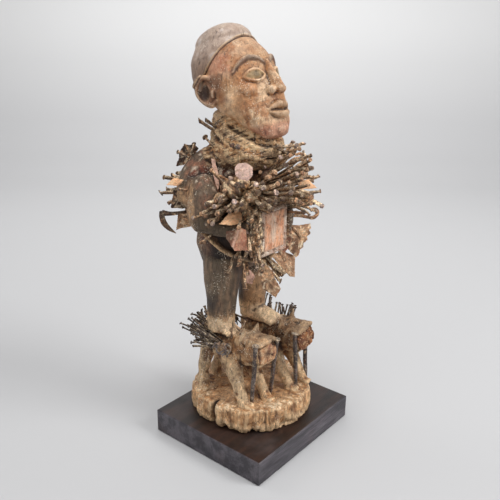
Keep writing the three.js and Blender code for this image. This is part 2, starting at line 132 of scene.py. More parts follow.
# A node of the material in hand, given as its output
def node(kind, inputs, output=None, **settings):
    made = look["tree"].nodes.new("ShaderNode" + kind)
    for key, value in settings.items():
        setattr(made, key, value)
    for key, value in inputs.items():
        found = made.inputs[key] if isinstance(key, int) else next(
            s for s in made.inputs if s.name == key and s.enabled)
        feed(found, value)
    return made.outputs[output] if output else next(s for s in made.outputs if s.enabled)


def objectPlace(stretch=(1, 1, 1), start=None, turn=(0, 0, 0)):
    start = start or node("TexCoord", {}, "Object")
    return node("Mapping", {"Scale": stretch, "Rotation": turn, "Vector": start})


def noiseOn(place, scale, detail=4, roughness=0.6):
    return node("TexNoise", {"Vector": place, "Scale": scale, "Detail": detail, "Roughness": roughness})


def ranged(value, low, high, first=0.0, last=1.0):
    ends = {"Value": value, "From Min": low, "From Max": high, "To Min": first, "To Max": last}
    return node("MapRange", ends, interpolation_type="SMOOTHSTEP")


def reckoned(kind, a, b=0.0):
    return node("Math", {0: a, 1: b}, operation=kind)


def times(a, *others):
    for b in others:
        a = reckoned("MULTIPLY", a, b)
    return a


def plus(a, b):
    return reckoned("ADD", a, b)


def minus(a, b):
    return reckoned("SUBTRACT", a, b)


def blended(share, a, b, kind="MIX"):
    return node("Mix", {"Factor": share, "A": a, "B": b}, data_type="RGBA", blend_type=kind)


# Lays a colour over what the material in hand has so far
def coatLook(share, shade, kind="MIX"):
    look["base"] = blended(share, look["base"], shade, kind)


def finishLook(roughness, height, distance):
    bump = node("Bump", {"Height": height, "Distance": distance})
    for key, value in (("Base Color", look["base"]), ("Roughness", roughness), ("Normal", bump)):
        feed(look["shader"].inputs[key], value)


stage = {
    "floor": (187, 187, 188),
    "backdrop": (210, 210, 210),
    "world": (238, 238, 239),
    "worldPower": 0.5,
    "ahead": (0.7728, 0.6347),
    "halfWidth": 8.0,
    # out along the floor and up the backdrop
    "sweep": [(-6, 0), (2.2, 0), (2.6, 0.06), (2.9, 0.25), (3.1, 0.6), (3.2, 1.1), (3.2, 5)],
    # place, target, size and power
    "lights": {
        "keyLight": ((0.8, -2.4, 2.2), (0, 0, 0.45), 1.3, 62),
        "topLight": ((-0.4, -0.1, 2.8), (0, 0, 0.45), 1.2, 34),
        "sideLight": ((-2.5, 0.3, 1.2), (0, 0, 0.45), 1.6, 9),
        "rimLight": ((-0.6, 2.2, 1.9), (0, 0, 0.45), 1.2, 7),
        "backdropLight": ((0.9, 0.9, 2.8), (2.6, 2.1, 1.7), 1.6, 52),
    },
}


def addLight(name, place, target, size, power):
    lamp = bpy.data.lights.new(name, "AREA")
    lamp.shape = "DISK"
    lamp.size = size
    lamp.energy = power
    holder = addObject(name, lamp)
    holder.location = place
    holder.rotation_euler = (Vector(target) - Vector(place)).to_track_quat("-Z", "Y").to_euler()


# A floor that sweeps up into a backdrop behind the figure, and the lights
def addStage():
    ahead = np.array(stage["ahead"])
    across = np.array([-ahead[1], ahead[0]])
    ends = (-stage["halfWidth"], stage["halfWidth"])
    points = [[*(ahead * out + across * wide), up] for out, up in stage["sweep"] for wide in ends]
    faces = [[2 * i, 2 * i + 2, 2 * i + 3, 2 * i + 1] for i in range(len(stage["sweep"]) - 1)]
    mesh = bpy.data.meshes.new("floor")
    mesh.from_pydata(points, [], faces)
    mesh.shade_smooth()
    mesh.materials.append(newLook("paleFloor"))
    up = ranged(node("SeparateXYZ", {"Vector": objectPlace()}, "Z"), 0.1, 0.9)
    feed(look["shader"].inputs["Base Color"], blended(up, stage["floor"], stage["backdrop"]))
    look["shader"].inputs["Roughness"].default_value = 0.8
    addObject("floor", mesh)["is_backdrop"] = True
    world = bpy.data.worlds.new("studio")
    bpy.context.scene.world = world
    world.use_nodes = True
    sky = world.node_tree.nodes["Background"]
    sky.inputs["Color"].default_value = (*colour(*stage["world"]), 1)
    sky.inputs["Strength"].default_value = stage["worldPower"]
    for name, row in stage["lights"].items():
        addLight(name, *row)


addCamera()
addStage()
bpy.context.scene.view_settings.view_transform = "Standard"
print("camera and floor set")

# Shapes as whole arrays

noiseTable = np.random.default_rng(11).random((32, 32, 32))


# Noise from 0 to 1: random values on a lattice with this cell, blended with 3t^2 - 2t^3 between them
def softNoise(points, cell, seed=0):
    place = np.asarray(points, float) / cell + 5.37 * seed
    low = np.floor(place).astype(int)
    part = place - low
    part = part * part * (3 - 2 * part)
    total = np.zeros(len(place))
    for corner in range(8):
        step = np.array([corner & 1, corner >> 1 & 1, corner >> 2])
        weight = np.prod(np.where(step, part, 1 - part), axis=1)
        x, y, z = ((low + step) % len(noiseTable)).T
        total += weight * noiseTable[x, y, z]
    return total


# Several octaves of it, each half as coarse and half as strong
def roughNoise(points, cell, seed=0, octaves=3):
    parts = [softNoise(points, np.asarray(cell) / 2**k, seed + k) / 2**k for k in range(octaves)]
    return sum(parts) / sum(0.5**k for k in range(octaves))


# Three such noises, each from -0.5 to 0.5, to push points about
def jitter(points, cell, seed, noise=roughNoise):
    return np.column_stack([noise(points, cell, seed + k) for k in range(3)]) - 0.5


# 0 at low, 1 at high, smooth between them and level beyond. Low may be the greater one.
def ramp(value, low, high):
    t = np.clip((value - low) / (high - low), 0, 1)
    return t * t * (3 - 2 * t)


# Rises from a to b and falls from c to d
def band(value, a, b, c, d):
    return ramp(value, a, b) * ramp(value, d, c)


# A smooth line through points: t from 0 to 1 gives each span an equal share, and in a span it is the
# cubic whose end slopes come from the neighbours, weighted by the square root of their distances.
def smoothPath(points, t):
    p = np.asarray(points, float)
    p = np.vstack([2 * p[0] - p[1], p, 2 * p[-1] - p[-2]])
    walk = np.clip(t, 0, 1) * (len(p) - 3)
    i = np.minimum(walk.astype(int), len(p) - 4)
    w = (walk - i)[:, None]
    a, b, c, d = (p[i + k] for k in range(4))
    before, here, after = (
        np.maximum(((r - q) ** 2).sum(1, keepdims=True), 1e-9) ** 0.25 for q, r in ((a, b), (b, c), (c, d)))
    start = ((b - a) / before - (c - a) / (before + here) + (c - b) / here) * here
    stop = ((c - b) / here - (d - b) / (here + after) + (d - c) / after) * here
    cubic = (2 * b - 2 * c + start + stop) * w**3
    return b + start * w + (3 * c - 3 * b - 2 * start - stop) * w**2 + cubic


# Faces of a closed tube of rings between two poles: quads between rings, triangles at the poles
def tubeFaces(rings, around):
    turn = np.arange(around)
    after = (turn + 1) % around
    starts = 1 + around * np.arange(rings - 1)[:, None]
    quads = np.stack([starts + turn, starts + around + turn, starts + around + after, starts + after], -1)
    last = 1 + around * (rings - 1)
    first = np.stack([0 * turn, 1 + turn, 1 + after], -1)
    final = np.stack([last + turn, np.full(around, last + around), last + after], -1)
    return quads.reshape(-1, 4), np.vstack([first, final])


# A limb through stations [x, y, z, wide, front, back] with rounded ends. At a turn of angle A, a point
# lies at path + across * wide * cos A + ahead * deep * sin A, both times the cap's own rounding.
def limb(stations, around=36, along=30, caps=(8, 8), level=False, side=(1, 0, 0), boxy=1, blunt=1):
    rows = np.array([row if len(row) == 6 else [*row, row[4]] for row in stations], float)
    capRows = 8
    rise = np.linspace(0, 1, capRows)
    t = np.concatenate([np.zeros(capRows), np.linspace(0, 1, along)[1:-1], np.ones(capRows)])
    rise = np.concatenate([rise, np.ones(along - 2), rise[::-1]])
    push = np.where(t > 0.5, caps[1], -caps[0])
    path = rows[:, :3]
    tangent = smoothPath(path, t + 1e-3) - smoothPath(path, t - 1e-3)
    if level:
        tangent = np.tile([0.0, 0.0, 1.0], (len(t), 1))
    tangent = unit(tangent)
    across = unit(side - tangent * (tangent @ np.asarray(side, float))[:, None])
    ahead = np.cross(across, tangent)
    size = smoothPath(rows[:, 3:], t)
    shrink = np.sin(rise * np.pi / 2) ** blunt
    bulge = np.clip(np.cos(rise * np.pi / 2), 0, 1) ** blunt
    angle = np.arange(around) * 2 * np.pi / around
    c, s = (np.sign(v) * np.abs(v) ** boxy for v in (np.cos(angle), np.sin(angle)))
    deep = np.where(s > 0, size[:, 1:2], size[:, 2:3])
    centre = smoothPath(path, t) + tangent * (push * bulge)[:, None]
    points = centre[:, None] + across[:, None] * (size[:, :1] * shrink[:, None] * c)[..., None]
    points = points + ahead[:, None] * (deep * shrink[:, None] * s)[..., None]
    points = np.vstack([points[0, :1], points[1:-1].reshape(-1, 3), points[-1, :1]])
    return points, *tubeFaces(len(t) - 2, around)


# An egg: centre, half sizes, and turns in degrees about X, Y and Z
def egg(centre, sizes, turns=(0, 0, 0), around=28, rings=16):
    lat = np.linspace(-np.pi / 2, np.pi / 2, rings + 2)[1:-1, None]
    lon = np.arange(around) * 2 * np.pi / around
    ring = np.stack([np.cos(lat) * np.cos(lon), np.cos(lat) * -np.sin(lon), np.tile(np.sin(lat), around)], -1)
    points = np.vstack([[[0, 0, -1]], ring.reshape(-1, 3), [[0, 0, 1]]]) * sizes
    return turned(points, turns) + centre, *tubeFaces(rings, around)


# Points turned about X, then Y, then Z, in degrees
def turned(points, turns):
    for axis, angle in enumerate(np.radians(turns)):
        c, s = np.cos(angle), np.sin(angle)
        turn = np.eye(3)
        i, j = (axis + 1) % 3, (axis + 2) % 3
        turn[i, i] = turn[j, j] = c
        turn[i, j], turn[j, i] = -s, s
        points = points @ turn.T
    return points


# Shells of points, quads and triangles as one
def together(shells):
    starts = np.cumsum([0] + [len(shell[0]) for shell in shells])
    points, *faces = zip(*shells)
    return np.vstack(points), *(np.vstack([f + start for f, start in zip(kind, starts)]) for kind in faces)


def mirrored(stations):
    return [[-x, *rest] for x, *rest in stations]


def makeMesh(name, points, quads, tris):
    mesh = bpy.data.meshes.new(name)
    mesh.vertices.add(len(points))
    mesh.vertices.foreach_set("co", np.ascontiguousarray(points, np.float32).ravel())
    corners = np.concatenate([quads.ravel(), tris.ravel()])
    mesh.loops.add(len(corners))
    mesh.loops.foreach_set("vertex_index", corners.astype(np.int32))
    sizes = np.concatenate([np.full(len(quads), 4), np.full(len(tris), 3)])
    starts = np.concatenate([[0], np.cumsum(sizes)[:-1]])
    mesh.polygons.add(len(sizes))
    mesh.polygons.foreach_set("loop_start", starts.astype(np.int32))
    mesh.update(calc_edges=True)
    mesh.validate()
    return mesh


# A list of a mesh's values as one array
def valuesOf(items, key, width=1, kind=np.int32):
    values = np.empty(len(items) * width, kind)
    items.foreach_get(key, values)
    return values if width == 1 else values.reshape(-1, width)


# Points, quads and triangles of a mesh, with its vertex normals
def arraysOf(mesh):
    points, normals = (valuesOf(mesh.vertices, key, 3, np.float32).astype(float) for key in ("co", "normal"))
    corners = valuesOf(mesh.loops, "vertex_index")
    sizes = valuesOf(mesh.polygons, "loop_total")
    start = np.concatenate([[0], np.cumsum(sizes)[:-1]])
    quads, tris = (corners[start[sizes == n][:, None] + np.arange(n)] for n in (4, 3))
    return points, quads, tris, normals


# Runs modifiers on a loose mesh and gives the new mesh back: a list of (type, settings)
def modified(mesh, steps):
    block = addObject("block", mesh)
    for kind, settings in steps:
        modifier = block.modifiers.new(kind, kind)
        for key, value in settings.items():
            setattr(modifier, key, value)
    made = bpy.data.meshes.new_from_object(block.evaluated_get(bpy.context.evaluated_depsgraph_get()))
    bpy.data.objects.remove(block)
    bpy.data.meshes.remove(mesh)
    return made


# Each point's mean over its neighbours along the mesh's edges, taken this many times
def blurred(values, edges, rounds):
    a, b = edges.T
    ends = np.concatenate([a, b])
    count = np.bincount(ends, minlength=len(values))[:, None]
    for _ in range(rounds):
        pulled = np.vstack([values[b], values[a]])
        total = np.column_stack([np.bincount(ends, axis, len(values)) for axis in pulled.T])
        values = total / np.maximum(count, 1)
    return values


# How hollow each point is: how far the blurred surface lies above it
def hollowness(mesh, points, normals, rounds):
    smooth = blurred(points, valuesOf(mesh.edges, "vertices", 2), rounds)
    return ((smooth - points) * normals).sum(1)


# A tint for each point, and what lays a colour over the tints with a weight for each point
def coatsOn(points, *first):
    tints = np.tile(colour(*first), (len(points), 1))
    return tints, lambda r, g, b, weight: lay(tints, (r, g, b), weight)


def lay(tints, shade, weight):
    tints += (colour(*shade) - tints) * np.clip(weight, 0, 1)[..., None]


# A piece from a shell in carving millimetres, with its tints and the CAD nodes that it stands for
def addPiece(name, shell, tints, slot, *replaced, extra=None, smooth=True):
    points, quads, tris = shell
    mesh = makeMesh(name, (points + (0, 0, baseLift)) / 1000, quads, tris)
    values = np.ones((len(tints), 4), np.float32)
    values[:, :3] = tints
    if extra is not None:
        values[:, 3] = extra
    layer = mesh.attributes.new("tint", "FLOAT_COLOR", "POINT")
    layer.data.foreach_set("color", values.ravel())
    mesh.polygons.foreach_set("use_smooth", np.full(len(mesh.polygons), smooth))
    piece = addObject(name, mesh)
    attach(piece, "root")
    if replaced:
        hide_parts(*replaced)
    return piece


# Shells joined into one carving, smoothed, given its relief along the normals, and thinned out
def carved(name, shells, relief, cut):
    mesh = makeMesh(name, *together(shells))
    mesh = modified(mesh, [
        ("REMESH", {"mode": "VOXEL", "voxel_size": cut["voxel"]}),
        ("SMOOTH", {"factor": 0.5, "iterations": cut["smoothing"]}),
    ])
    points, _, _, normals = arraysOf(mesh)
    points += normals * relief(points, normals)[:, None]
    mesh.vertices.foreach_set("co", points.astype(np.float32).ravel())
    mesh.update()
    mesh = modified(mesh, [("DECIMATE", {"ratio": cut["keep"]})])
    points, quads, tris, _ = arraysOf(mesh)
    bpy.data.meshes.remove(mesh)
    return points, quads, tris


# The man's head: a skull of level sections, and a face of plain workshop proportions

head = {
    "centre": (0, 36, 652),
    "tilt": -15,  # degrees, chin up
    "skull": [
        [0, -52, -100, 31, 19, 20],
        [0, -40, -80, 49, 34, 38],
        [0, -20, -48, 63, 51, 58],
        [0, 2, -14, 69, 70, 72],
        [0, 10, 18, 70, 73, 83],
        [0, 14, 50, 62, 62, 82],
        [0, 20, 78, 45, 44, 62],
    ],
    "caps": (9, 28),
    "capThick": 3,
    "rimFront": (-4, 53.6),  # a place on the skullcap's rim at the temple, as y and z
    "rimSlope": -1.12,
    "socket": (29, 6, 21, 13, 7),  # eye socket: x, z, half width, half height, depth
    "brow": [(7, 23), (18, 31), (34, 34), (49, 26), (58, 14)],
    # features that run over the face, as overFace takes them, from the middle outwards or right across
    "upperLip": [(-27, -59, 0.5, 2, 3), (-15, -54.5, -2, 6, 7), (-5, -52, -4, 7.5, 9.5), (0, -53, -4, 7, 9.5),
                 (5, -52, -4, 7.5, 9.5), (15, -54.5, -2, 6, 7), (27, -59, 0.5, 2, 3)],
    "lowerLip": [(-25, -62.5, 0.5, 2, 3), (-14, -67.5, -2, 6, 7), (0, -69.5, -3.5, 7.5, 9),
                 (14, -67.5, -2, 6, 7), (25, -62.5, 0.5, 2, 3)],
    "browRidge": [(7, 23, -1, 3, 3.2), (18, 31, -2.4, 4.6, 4), (34, 34, -2.4, 5.2, 4), (49, 26, -2.2, 4.6, 3.6),
                  (58, 14, -1, 2.5, 2.6)],
    "upperLid": [(12, 2, -1, 2, 2.2), (20, 9.5, -3.5, 2.8, 3), (30, 13, -5.2, 3, 3.2), (41, 9.5, -4, 2.8, 3),
                 (49, 2, -1, 2, 2.2)],
    "lowerLid": [(12, 1, -1, 1.8, 2), (20, -4.5, -2.6, 2.2, 2.4), (30, -6.8, -3.6, 2.4, 2.6),
                 (41, -4, -3, 2.2, 2.4), (49, 2, -1, 1.8, 2)],
    "voxel": 1.4,
    "smoothing": 3,
    "keep": 0.55,  # share of faces that thinning keeps
}


# Eye sockets as a soft dip: depth * exp(-(x / half width)^2 - (z / half height)^2) from its middle
def socketDip(x, z):
    sx, sz, wide, tall, deep = head["socket"]
    return deep * np.exp(-(((np.abs(x) - sx) / wide) ** 2) - ((z - sz) / tall) ** 2)


# The front of the face at this x and z
def faceFront(x, z):
    rows = np.array(head["skull"], float)
    middle, wide, front = (np.interp(z, rows[:, 2], rows[:, k]) for k in (1, 3, 4))
    return middle - front * np.sqrt(np.clip(1 - (x / wide) ** 2, 0, 1)) + socketDip(x, z)


# A feature that runs over the face: rows of x, z, how far its middle sinks in, half its height and depth
def overFace(feature, way, caps, along):
    stations = [[way * x, faceFront(x, z) + sink, z, tall, deep] for x, z, sink, tall, deep in head[feature]]
    return limb(stations, side=(0, 0, 1), caps=(caps, caps), along=along)


def faceShells():
    skull = limb(head["skull"], around=90, along=70, caps=head["caps"], level=True)
    x, y, z = skull[0].T
    skull[0][:, 1] += socketDip(x, z) * (y < 0)
    nose = [[0, faceFront(0, 22) + 1, 22, 6, 7], [0, -67, 4, 7.5, 9], [0, -72, -13, 10, 12.5], [0, -75, -23, 12, 13]]
    # the ear: a thick bowl that flares backwards, with a rim curled round it and a lobe
    earRim = [[-66, 9, 2, 4, 4], [-70, 12, 12, 4.5, 4], [-76, 24, 17, 4.5, 4.5], [-81, 36, 8, 4.5, 4.5],
              [-81, 38, -8, 4.5, 4.5], [-76, 32, -23, 4.5, 5], [-70, 20, -32, 5, 6], [-66, 12, -27, 4.5, 5]]
    tragus = [[-66, 8, -6, 5, 4], [-72, 11, -11, 4, 4], [-72, 13, -18, 4, 3]]
    shells = [skull, limb(nose, caps=(8, 5)), egg((0, -79, -24), (11, 11, 9), (15, 0, 0)),
              overFace("upperLip", -1, 2, 50), overFace("lowerLip", -1, 2, 50), egg((0, -62, -93), (20, 17, 14))]
    for way in (-1, 1):
        flip = mirrored if way > 0 else list
        shells += [
            overFace("browRidge", way, 3, 44),
            egg((way * 30, faceFront(30, 3.5) + 1.5, 3.5), (17.5, 9, 9.5), (0, 0, way * 25)),
            overFace("upperLid", way, 2, 40),
            overFace("lowerLid", way, 2, 40),
            egg((way * 12.5, -72, -26), (9.5, 10.5, 8.5), (0, 0, way * 20)),
            egg((way * 36, -42, -22), (22, 18, 17), (0, 0, way * 20)),
            egg((way * 58, -8, -34), (12, 24, 22)),
            egg((way * 66, 24, -9), (13, 16, 22), (0, 0, way * -25)),
            limb(flip(earRim), side=(0, 0, 1), caps=(4, 5), along=50),
            limb(flip(tragus), side=(0, 0, 1), caps=(3, 3)),
        ]
    return shells


# How far a place in the head's frame lies above the cap's rim
def rimHeight(q):
    level = head["rimFront"][1] + head["rimSlope"] * (q[:, 1] - head["rimFront"][0])
    return q[:, 2] - level + 1.6 * (softNoise(q, 11, 5) - 0.5)


# Carving marks on the head, in head millimetres: how far each point moves along its normal
def headRelief(p, n):
    x, y, z = p.T
    push = 0.7 * (roughNoise(p, 14, 3) - 0.5) + 0.35 * (roughNoise(p, 4, 4) - 0.5)
    # the skullcap stands proud above a rim that falls from the brow to the nape
    overRim = rimHeight(p)
    push += ramp(overRim, -1.2, 1.2) * (head["capThick"] + 1.1 * (roughNoise(p, (9, 9, 30), 6) - 0.5))
    # a score along the rim, one between the lips, the nostrils and the ears' bowls
    push -= 1.3 * np.exp(-((overRim + 2.4) / 1.1) ** 2)
    lipLine = z + 61.2 + 1.2 * np.cos(x / 6)
    push -= 2.4 * np.exp(-((lipLine / 1.3) ** 2)) * ramp(27 - abs(x), 0, 5) * ramp(-y - 52, 0, 5)
    nostril = ((abs(x) - 9) / 3.6) ** 2 + ((y + 77) / 4) ** 2
    push -= 4.5 * np.exp(-nostril) * (n[:, 2] < -0.2) * ramp(z, -42, -38) * (z < -24)
    bowl = ((y - 25) / 9) ** 2 + ((z + 8) / 13.5) ** 2
    push -= 8.5 * np.exp(-(bowl**2)) * ramp(abs(x), 66, 71)
    # drying checks down the wood
    run = roughNoise(p, (5, 5, 60), 8)
    crack = np.exp(-(((run - 0.5) / 0.006) ** 2)) * ramp(softNoise(p, 26, 9), 0.5, 0.7)
    return push - 0.8 * crack


def carveHead():
    points, quads, tris = carved("head", faceShells(), headRelief, head)
    return turned(points, (head["tilt"], 0, 0)) + head["centre"], quads, tris


# The body below the head, down to the man's feet

body = {
    "torso": [
        [0, 50, 312, 68, 50, 70],
        [0, 48, 350, 75, 62, 84],
        [0, 42, 388, 74, 68, 80],
        [0, 32, 430, 66, 74, 72],
        [0, 38, 468, 68, 70, 70],
        [0, 46, 500, 64, 58, 58],
        [0, 38, 535, 46, 46, 46],
    ],
    "collar": [
        [0, 30, 504, 58, 58, 60],
        [0, 27, 526, 70, 71, 70],
        [0, 26, 558, 65, 66, 68],
        [0, 34, 598, 50, 46, 57],
    ],
    # the sash's line from the side of the hip to its lowest place, mirrored beyond that
    "sash": [(-76, 82, 391), (-81, 46, 375), (-73, 14, 353), (-37, -12, 333), (0, -20, 324)],
    "sashHalf": (4.5, 9),
    # the shoulder runs back and down to the elbow, and the bent arm bulges forward from there
    "shoulder": [[-24, 66, 510, 30, 33], [-50, 80, 498, 31, 35], [-75, 93, 471, 26, 32], [-86, 92, 440, 22, 25]],
    "upperArm": [[-78, 62, 478, 25, 24], [-88, 50, 452, 33, 28], [-92, 46, 422, 37, 30], [-92, 40, 402, 28, 27]],
    "forearm": [[-92, 44, 410, 22, 25], [-89, 8, 404, 17, 19], [-72, -18, 400, 14, 16]],
    "hand": [[-74, -18, 399, 16, 10], [-56, -36, 399, 17, 9]],
    "fingerLifts": (-14, -5, 4, 13),
    "legs": [(-50, -2), (46, 30)],  # x, and how far forward the foot reaches
    "voxel": 2.5,
    "smoothing": 4,
    "keep": 0.34,
}
body["sash"] += mirrored(body["sash"][-2::-1])


def armShells(way):
    flip = mirrored if way > 0 else list
    shells = [
        limb(flip(body["shoulder"]), caps=(8, 10)),
        limb(flip(body["upperArm"]), caps=(12, 12), side=(0, 1, 0)),
        limb(flip(body["forearm"]), caps=(10, 8), side=(0, 0, 1)),
        limb(flip(body["hand"]), caps=(6, 6), side=(0, 0, 1)),
    ]
    for lift in body["fingerLifts"]:
        finger = [[-60, -34, 395 + lift, 4.4, 5], [-42, -46, 396 + lift * 1.1, 3.8, 4.6]]
        shells.append(limb(flip(finger), around=14, along=12, caps=(3, 4), side=(0, 0, 1)))
    return shells


def legShells(x, reach):
    leg = [[x, 46, 178, 25, 26], [x, 46, 212, 27, 29], [x, 44, 244, 29, 31],
           [x * 0.96, 43, 286, 36, 34, 39], [x * 0.78, 45, 330, 40, 39, 46]]
    foot = [[x, 70 - reach * 0.5, 182, 21, 14], [x, 38 - reach * 0.6, 185, 22, 17], [x * 1.02, 20 - reach, 180, 24, 11]]
    shells = [limb(leg, caps=(4, 10), level=True), limb(foot, caps=(10, 6)),
              egg((x, 66 - reach * 0.4, 186), (17, 16, 15))]
    for step in (-16, -8, 0, 8, 16):
        toe = [[x + step * 0.9, 26 - reach, 181, 4.6, 7],
               [x + step * 1.1, 8 - reach + abs(step) * 0.3, 178, 4.2, 6]]
        shells.append(limb(toe, around=16, along=12, caps=(2, 4)))
    return shells


# The two dogs: jaws wide open on a packed mouth, legs by [hip, hoof] places beside the dog's own middle

dogs = [
    {"x": -38, "y": 0, "roll": 0, "front": [[-42, -37], [6, -54]], "hind": [[-42, 70], [14, 84]]},
    {"x": 64, "y": -19, "roll": 12, "front": [[-34, -48], [9, -50]], "hind": [[-24, 84], [28, 84]]},
]
dogHead = {
    "middle": 152,  # height that the head is rolled about
    "muzzleFront": -62,
    "mouthDepth": 30,
}
muzzleFront = dogHead["muzzleFront"]


def besideDog(dog, shell, rolled=True):
    points = shell[0] + (dog["x"], dog["y"], 0)
    if rolled:
        middle = np.array([dog["x"], dog["y"], dogHead["middle"]])
        points = turned(points - middle, (0, -dog["roll"], 0)) + middle
    return points, *shell[1:]


# The same place in the dog's own frame, before its head was rolled
def dogFrame(dog, points):
    middle = np.array([dog["x"], dog["y"], dogHead["middle"]])
    return turned(points - middle, (0, dog["roll"], 0)) + (0, 0, dogHead["middle"])


def dogShells(dog):
    rump = [[0, 88, 150, 24, 20, 20], [0, 60, 147, 34, 26, 26], [0, 25, 140, 38, 34, 36], [0, -8, 138, 30, 34, 36]]
    skull = [[0, 4, 146, 27, 30, 32], [0, -26, 150, 29, 30, 32], [0, -46, 155, 28, 26, 25],
             [0, muzzleFront + 3, 157, 28, 24, 23]]
    # the upper jaw as a flat wedge over the packing, and the thin lower one under it
    upper = [[0, -20, 170, 23, 9, 9], [0, -44, 173, 25.5, 7.5, 8], [0, muzzleFront - 1, 176, 27, 5, 6]]
    lower = [[0, -22, 127, 22, 7, 6], [0, -44, 130, 25, 4, 4], [0, muzzleFront + 2, 133, 26, 3, 3]]
    # shells, and whether they turn with the head
    shells = [(limb(rump, caps=(16, 12)), False), (limb(skull, around=56, caps=(8, 3), boxy=0.5, blunt=0.2), True),
              (limb(upper, caps=(6, 3), boxy=0.6, blunt=0.4), True),
              (limb(lower, caps=(6, 3), boxy=0.7, blunt=0.5), True)]
    for way, (frontX, frontY), (hindX, hindY) in zip((-1, 1), dog["front"], dog["hind"]):
        ear = [[way * 18, -14, 168, 10, 6], [way * 20, -18, 184, 7, 4.5], [way * 21, -21, 199, 2.6, 2]]
        front = [[way * 22, 16, 138, 17, 24], [way * 24, 8, 122, 19, 23],
                 [(way * 24 + frontX) / 2, (frontY + 8) / 2, 90, 13.5, 14.5],
                 [frontX * 0.98, frontY + 3, 62, 10.5, 10.5], [frontX, frontY - 4, 47, 12.5, 13]]
        hind = [[way * 20, 70, 142, 16, 18], [(way * 26 + hindX) / 2, (hindY + 74) / 2, 96, 12.5, 13.5],
                [hindX, hindY, 62, 11.5, 12], [hindX, hindY - 3, 46, 13, 13]]
        shells += [(limb(ear, around=16, along=16, caps=(2, 2)), True), (limb(front, caps=(6, 4)), False),
                   (limb(hind, caps=(6, 4)), False)]
        for toe in (-7, 0, 7):
            shells.append((egg((frontX + toe, frontY - 15, 51), (4, 7, 4.6)), False))
            shells.append((egg((hindX + toe, hindY - 14, 50), (3.6, 6, 4.2)), False))
    return [besideDog(dog, *row) for row in shells]


# How far a point belongs to the collar
def collarShare(x, y, z):
    out = np.hypot(x, y - 28)
    return ramp(z, 503, 514) * band(out, 42, 50, 77, 82) * ramp(abs(x), 76, 66)


# Places along the collar's fibres, which run round it a little aslant
def alongFibres(p):
    x, y, z = p.T
    return np.column_stack([x * 0.3, (y - 28) * 0.3, z - 0.4 * y])


# Carving marks below the head, in figure millimetres
def bodyRelief(p, n):
    x, y, z = p.T
    push = 1.4 * (roughNoise(p, 16, 12) - 0.5)
    # the collar's fibrous ridges
    collar = collarShare(x, y, z)
    push += collar * 9 * (roughNoise(alongFibres(p), 9, 21, 4) - 0.5)
    push -= collar * 6 * ramp(softNoise(alongFibres(p), (9, 9, 8), 23), 0.6, 0.75)
    # packed crust on the chest and belly, where the irons go in
    crust = ramp(y, 30, -10) * band(z, 318, 350, 470, 505) * ramp(75 - abs(x), 0, 22)
    push += crust * 9 * np.clip(roughNoise(p, 15, 31) - 0.4, 0, 1)
    # dust and clay on everything below the ankles
    low = ramp(z, 215, 190)
    push += low * (5.5 * (roughNoise(p, 17, 41, 4) - 0.5) - 2 * ramp(softNoise(p, (9, 9, 14), 43), 0.68, 0.8))
    # adze facets on the legs and arms
    push += (1 - low) * (1 - collar) * 0.7 * (softNoise(p, (9, 9, 24), 51) - 0.5)
    for dog in dogs:
        across, along, up = dogFrame(dog, p).T
        mouth = ramp(along, muzzleFront + 12, muzzleFront + 4)
        mouth *= ramp(26 - abs(across), 0, 3) * band(up, 134, 137, 170, 173)
        push -= 7 * mouth * (n[:, 1] < -0.2)
        eye = ((along + 24) / 4.2) ** 2 + ((up - 165) / 4) ** 2
        push -= 8 * np.exp(-(eye**2)) * ramp(abs(across), 18, 23) * (abs(across) < 38)
        # a groove under the upper jaw and one over the lower jaw
        jaw = band(along, -70, -62, -30, -20)
        push -= jaw * 1.1 * np.exp(-(((up - 166) / 2.2) ** 2))
        push -= jaw * 2.2 * np.exp(-(((up - 136) / 2.4) ** 2))
    return push


def carveBody():
    shells = [
        limb(body["torso"], around=64, along=50, caps=(14, 10), level=True),
        limb(body["collar"], around=64, along=30, caps=(4, 10), level=True),
        limb([[*row, *body["sashHalf"]] for row in body["sash"]], around=16, along=70, caps=(3, 3), side=(0, 0, 1)),
        *armShells(-1), *armShells(1),
    ]
    for x, reach in body["legs"]:
        shells += legShells(x, reach)
    for dog in dogs:
        shells += dogShells(dog)
    return carved("body", shells, bodyRelief, body)


# The round base: a slice of trunk. Rings of (share of the radius, share of the height) give its profile,
# and the rim's radius carries bark grooves, chips and one deep drying crack.

roundBase = {
    "radius": 123,
    "height": 49,
    "centre": (3, 10),
    "crack": 180,  # degrees
    "crackDepth": 21,
    "smallCracks": [(232, 5), (262, 3.5), (292, 4), (206, 4), (20, 6), (95, 5), (330, 3)],  # degrees and depth
    "groove": 4.2,
    "around": 440,
    "profile": [[0, 0], [0.5, 0], [0.955, 0], [0.985, 0.06], [1, 0.28], [0.985, 0.7], [0.975, 0.93], [0.95, 0.995],
                [0.9, 1], [0.6, 1], [0, 0.99]],
}


# The smaller angle from these turns to this many degrees
def turnFrom(angle, degrees):
    return np.angle(np.exp(1j * (angle - np.radians(degrees))))


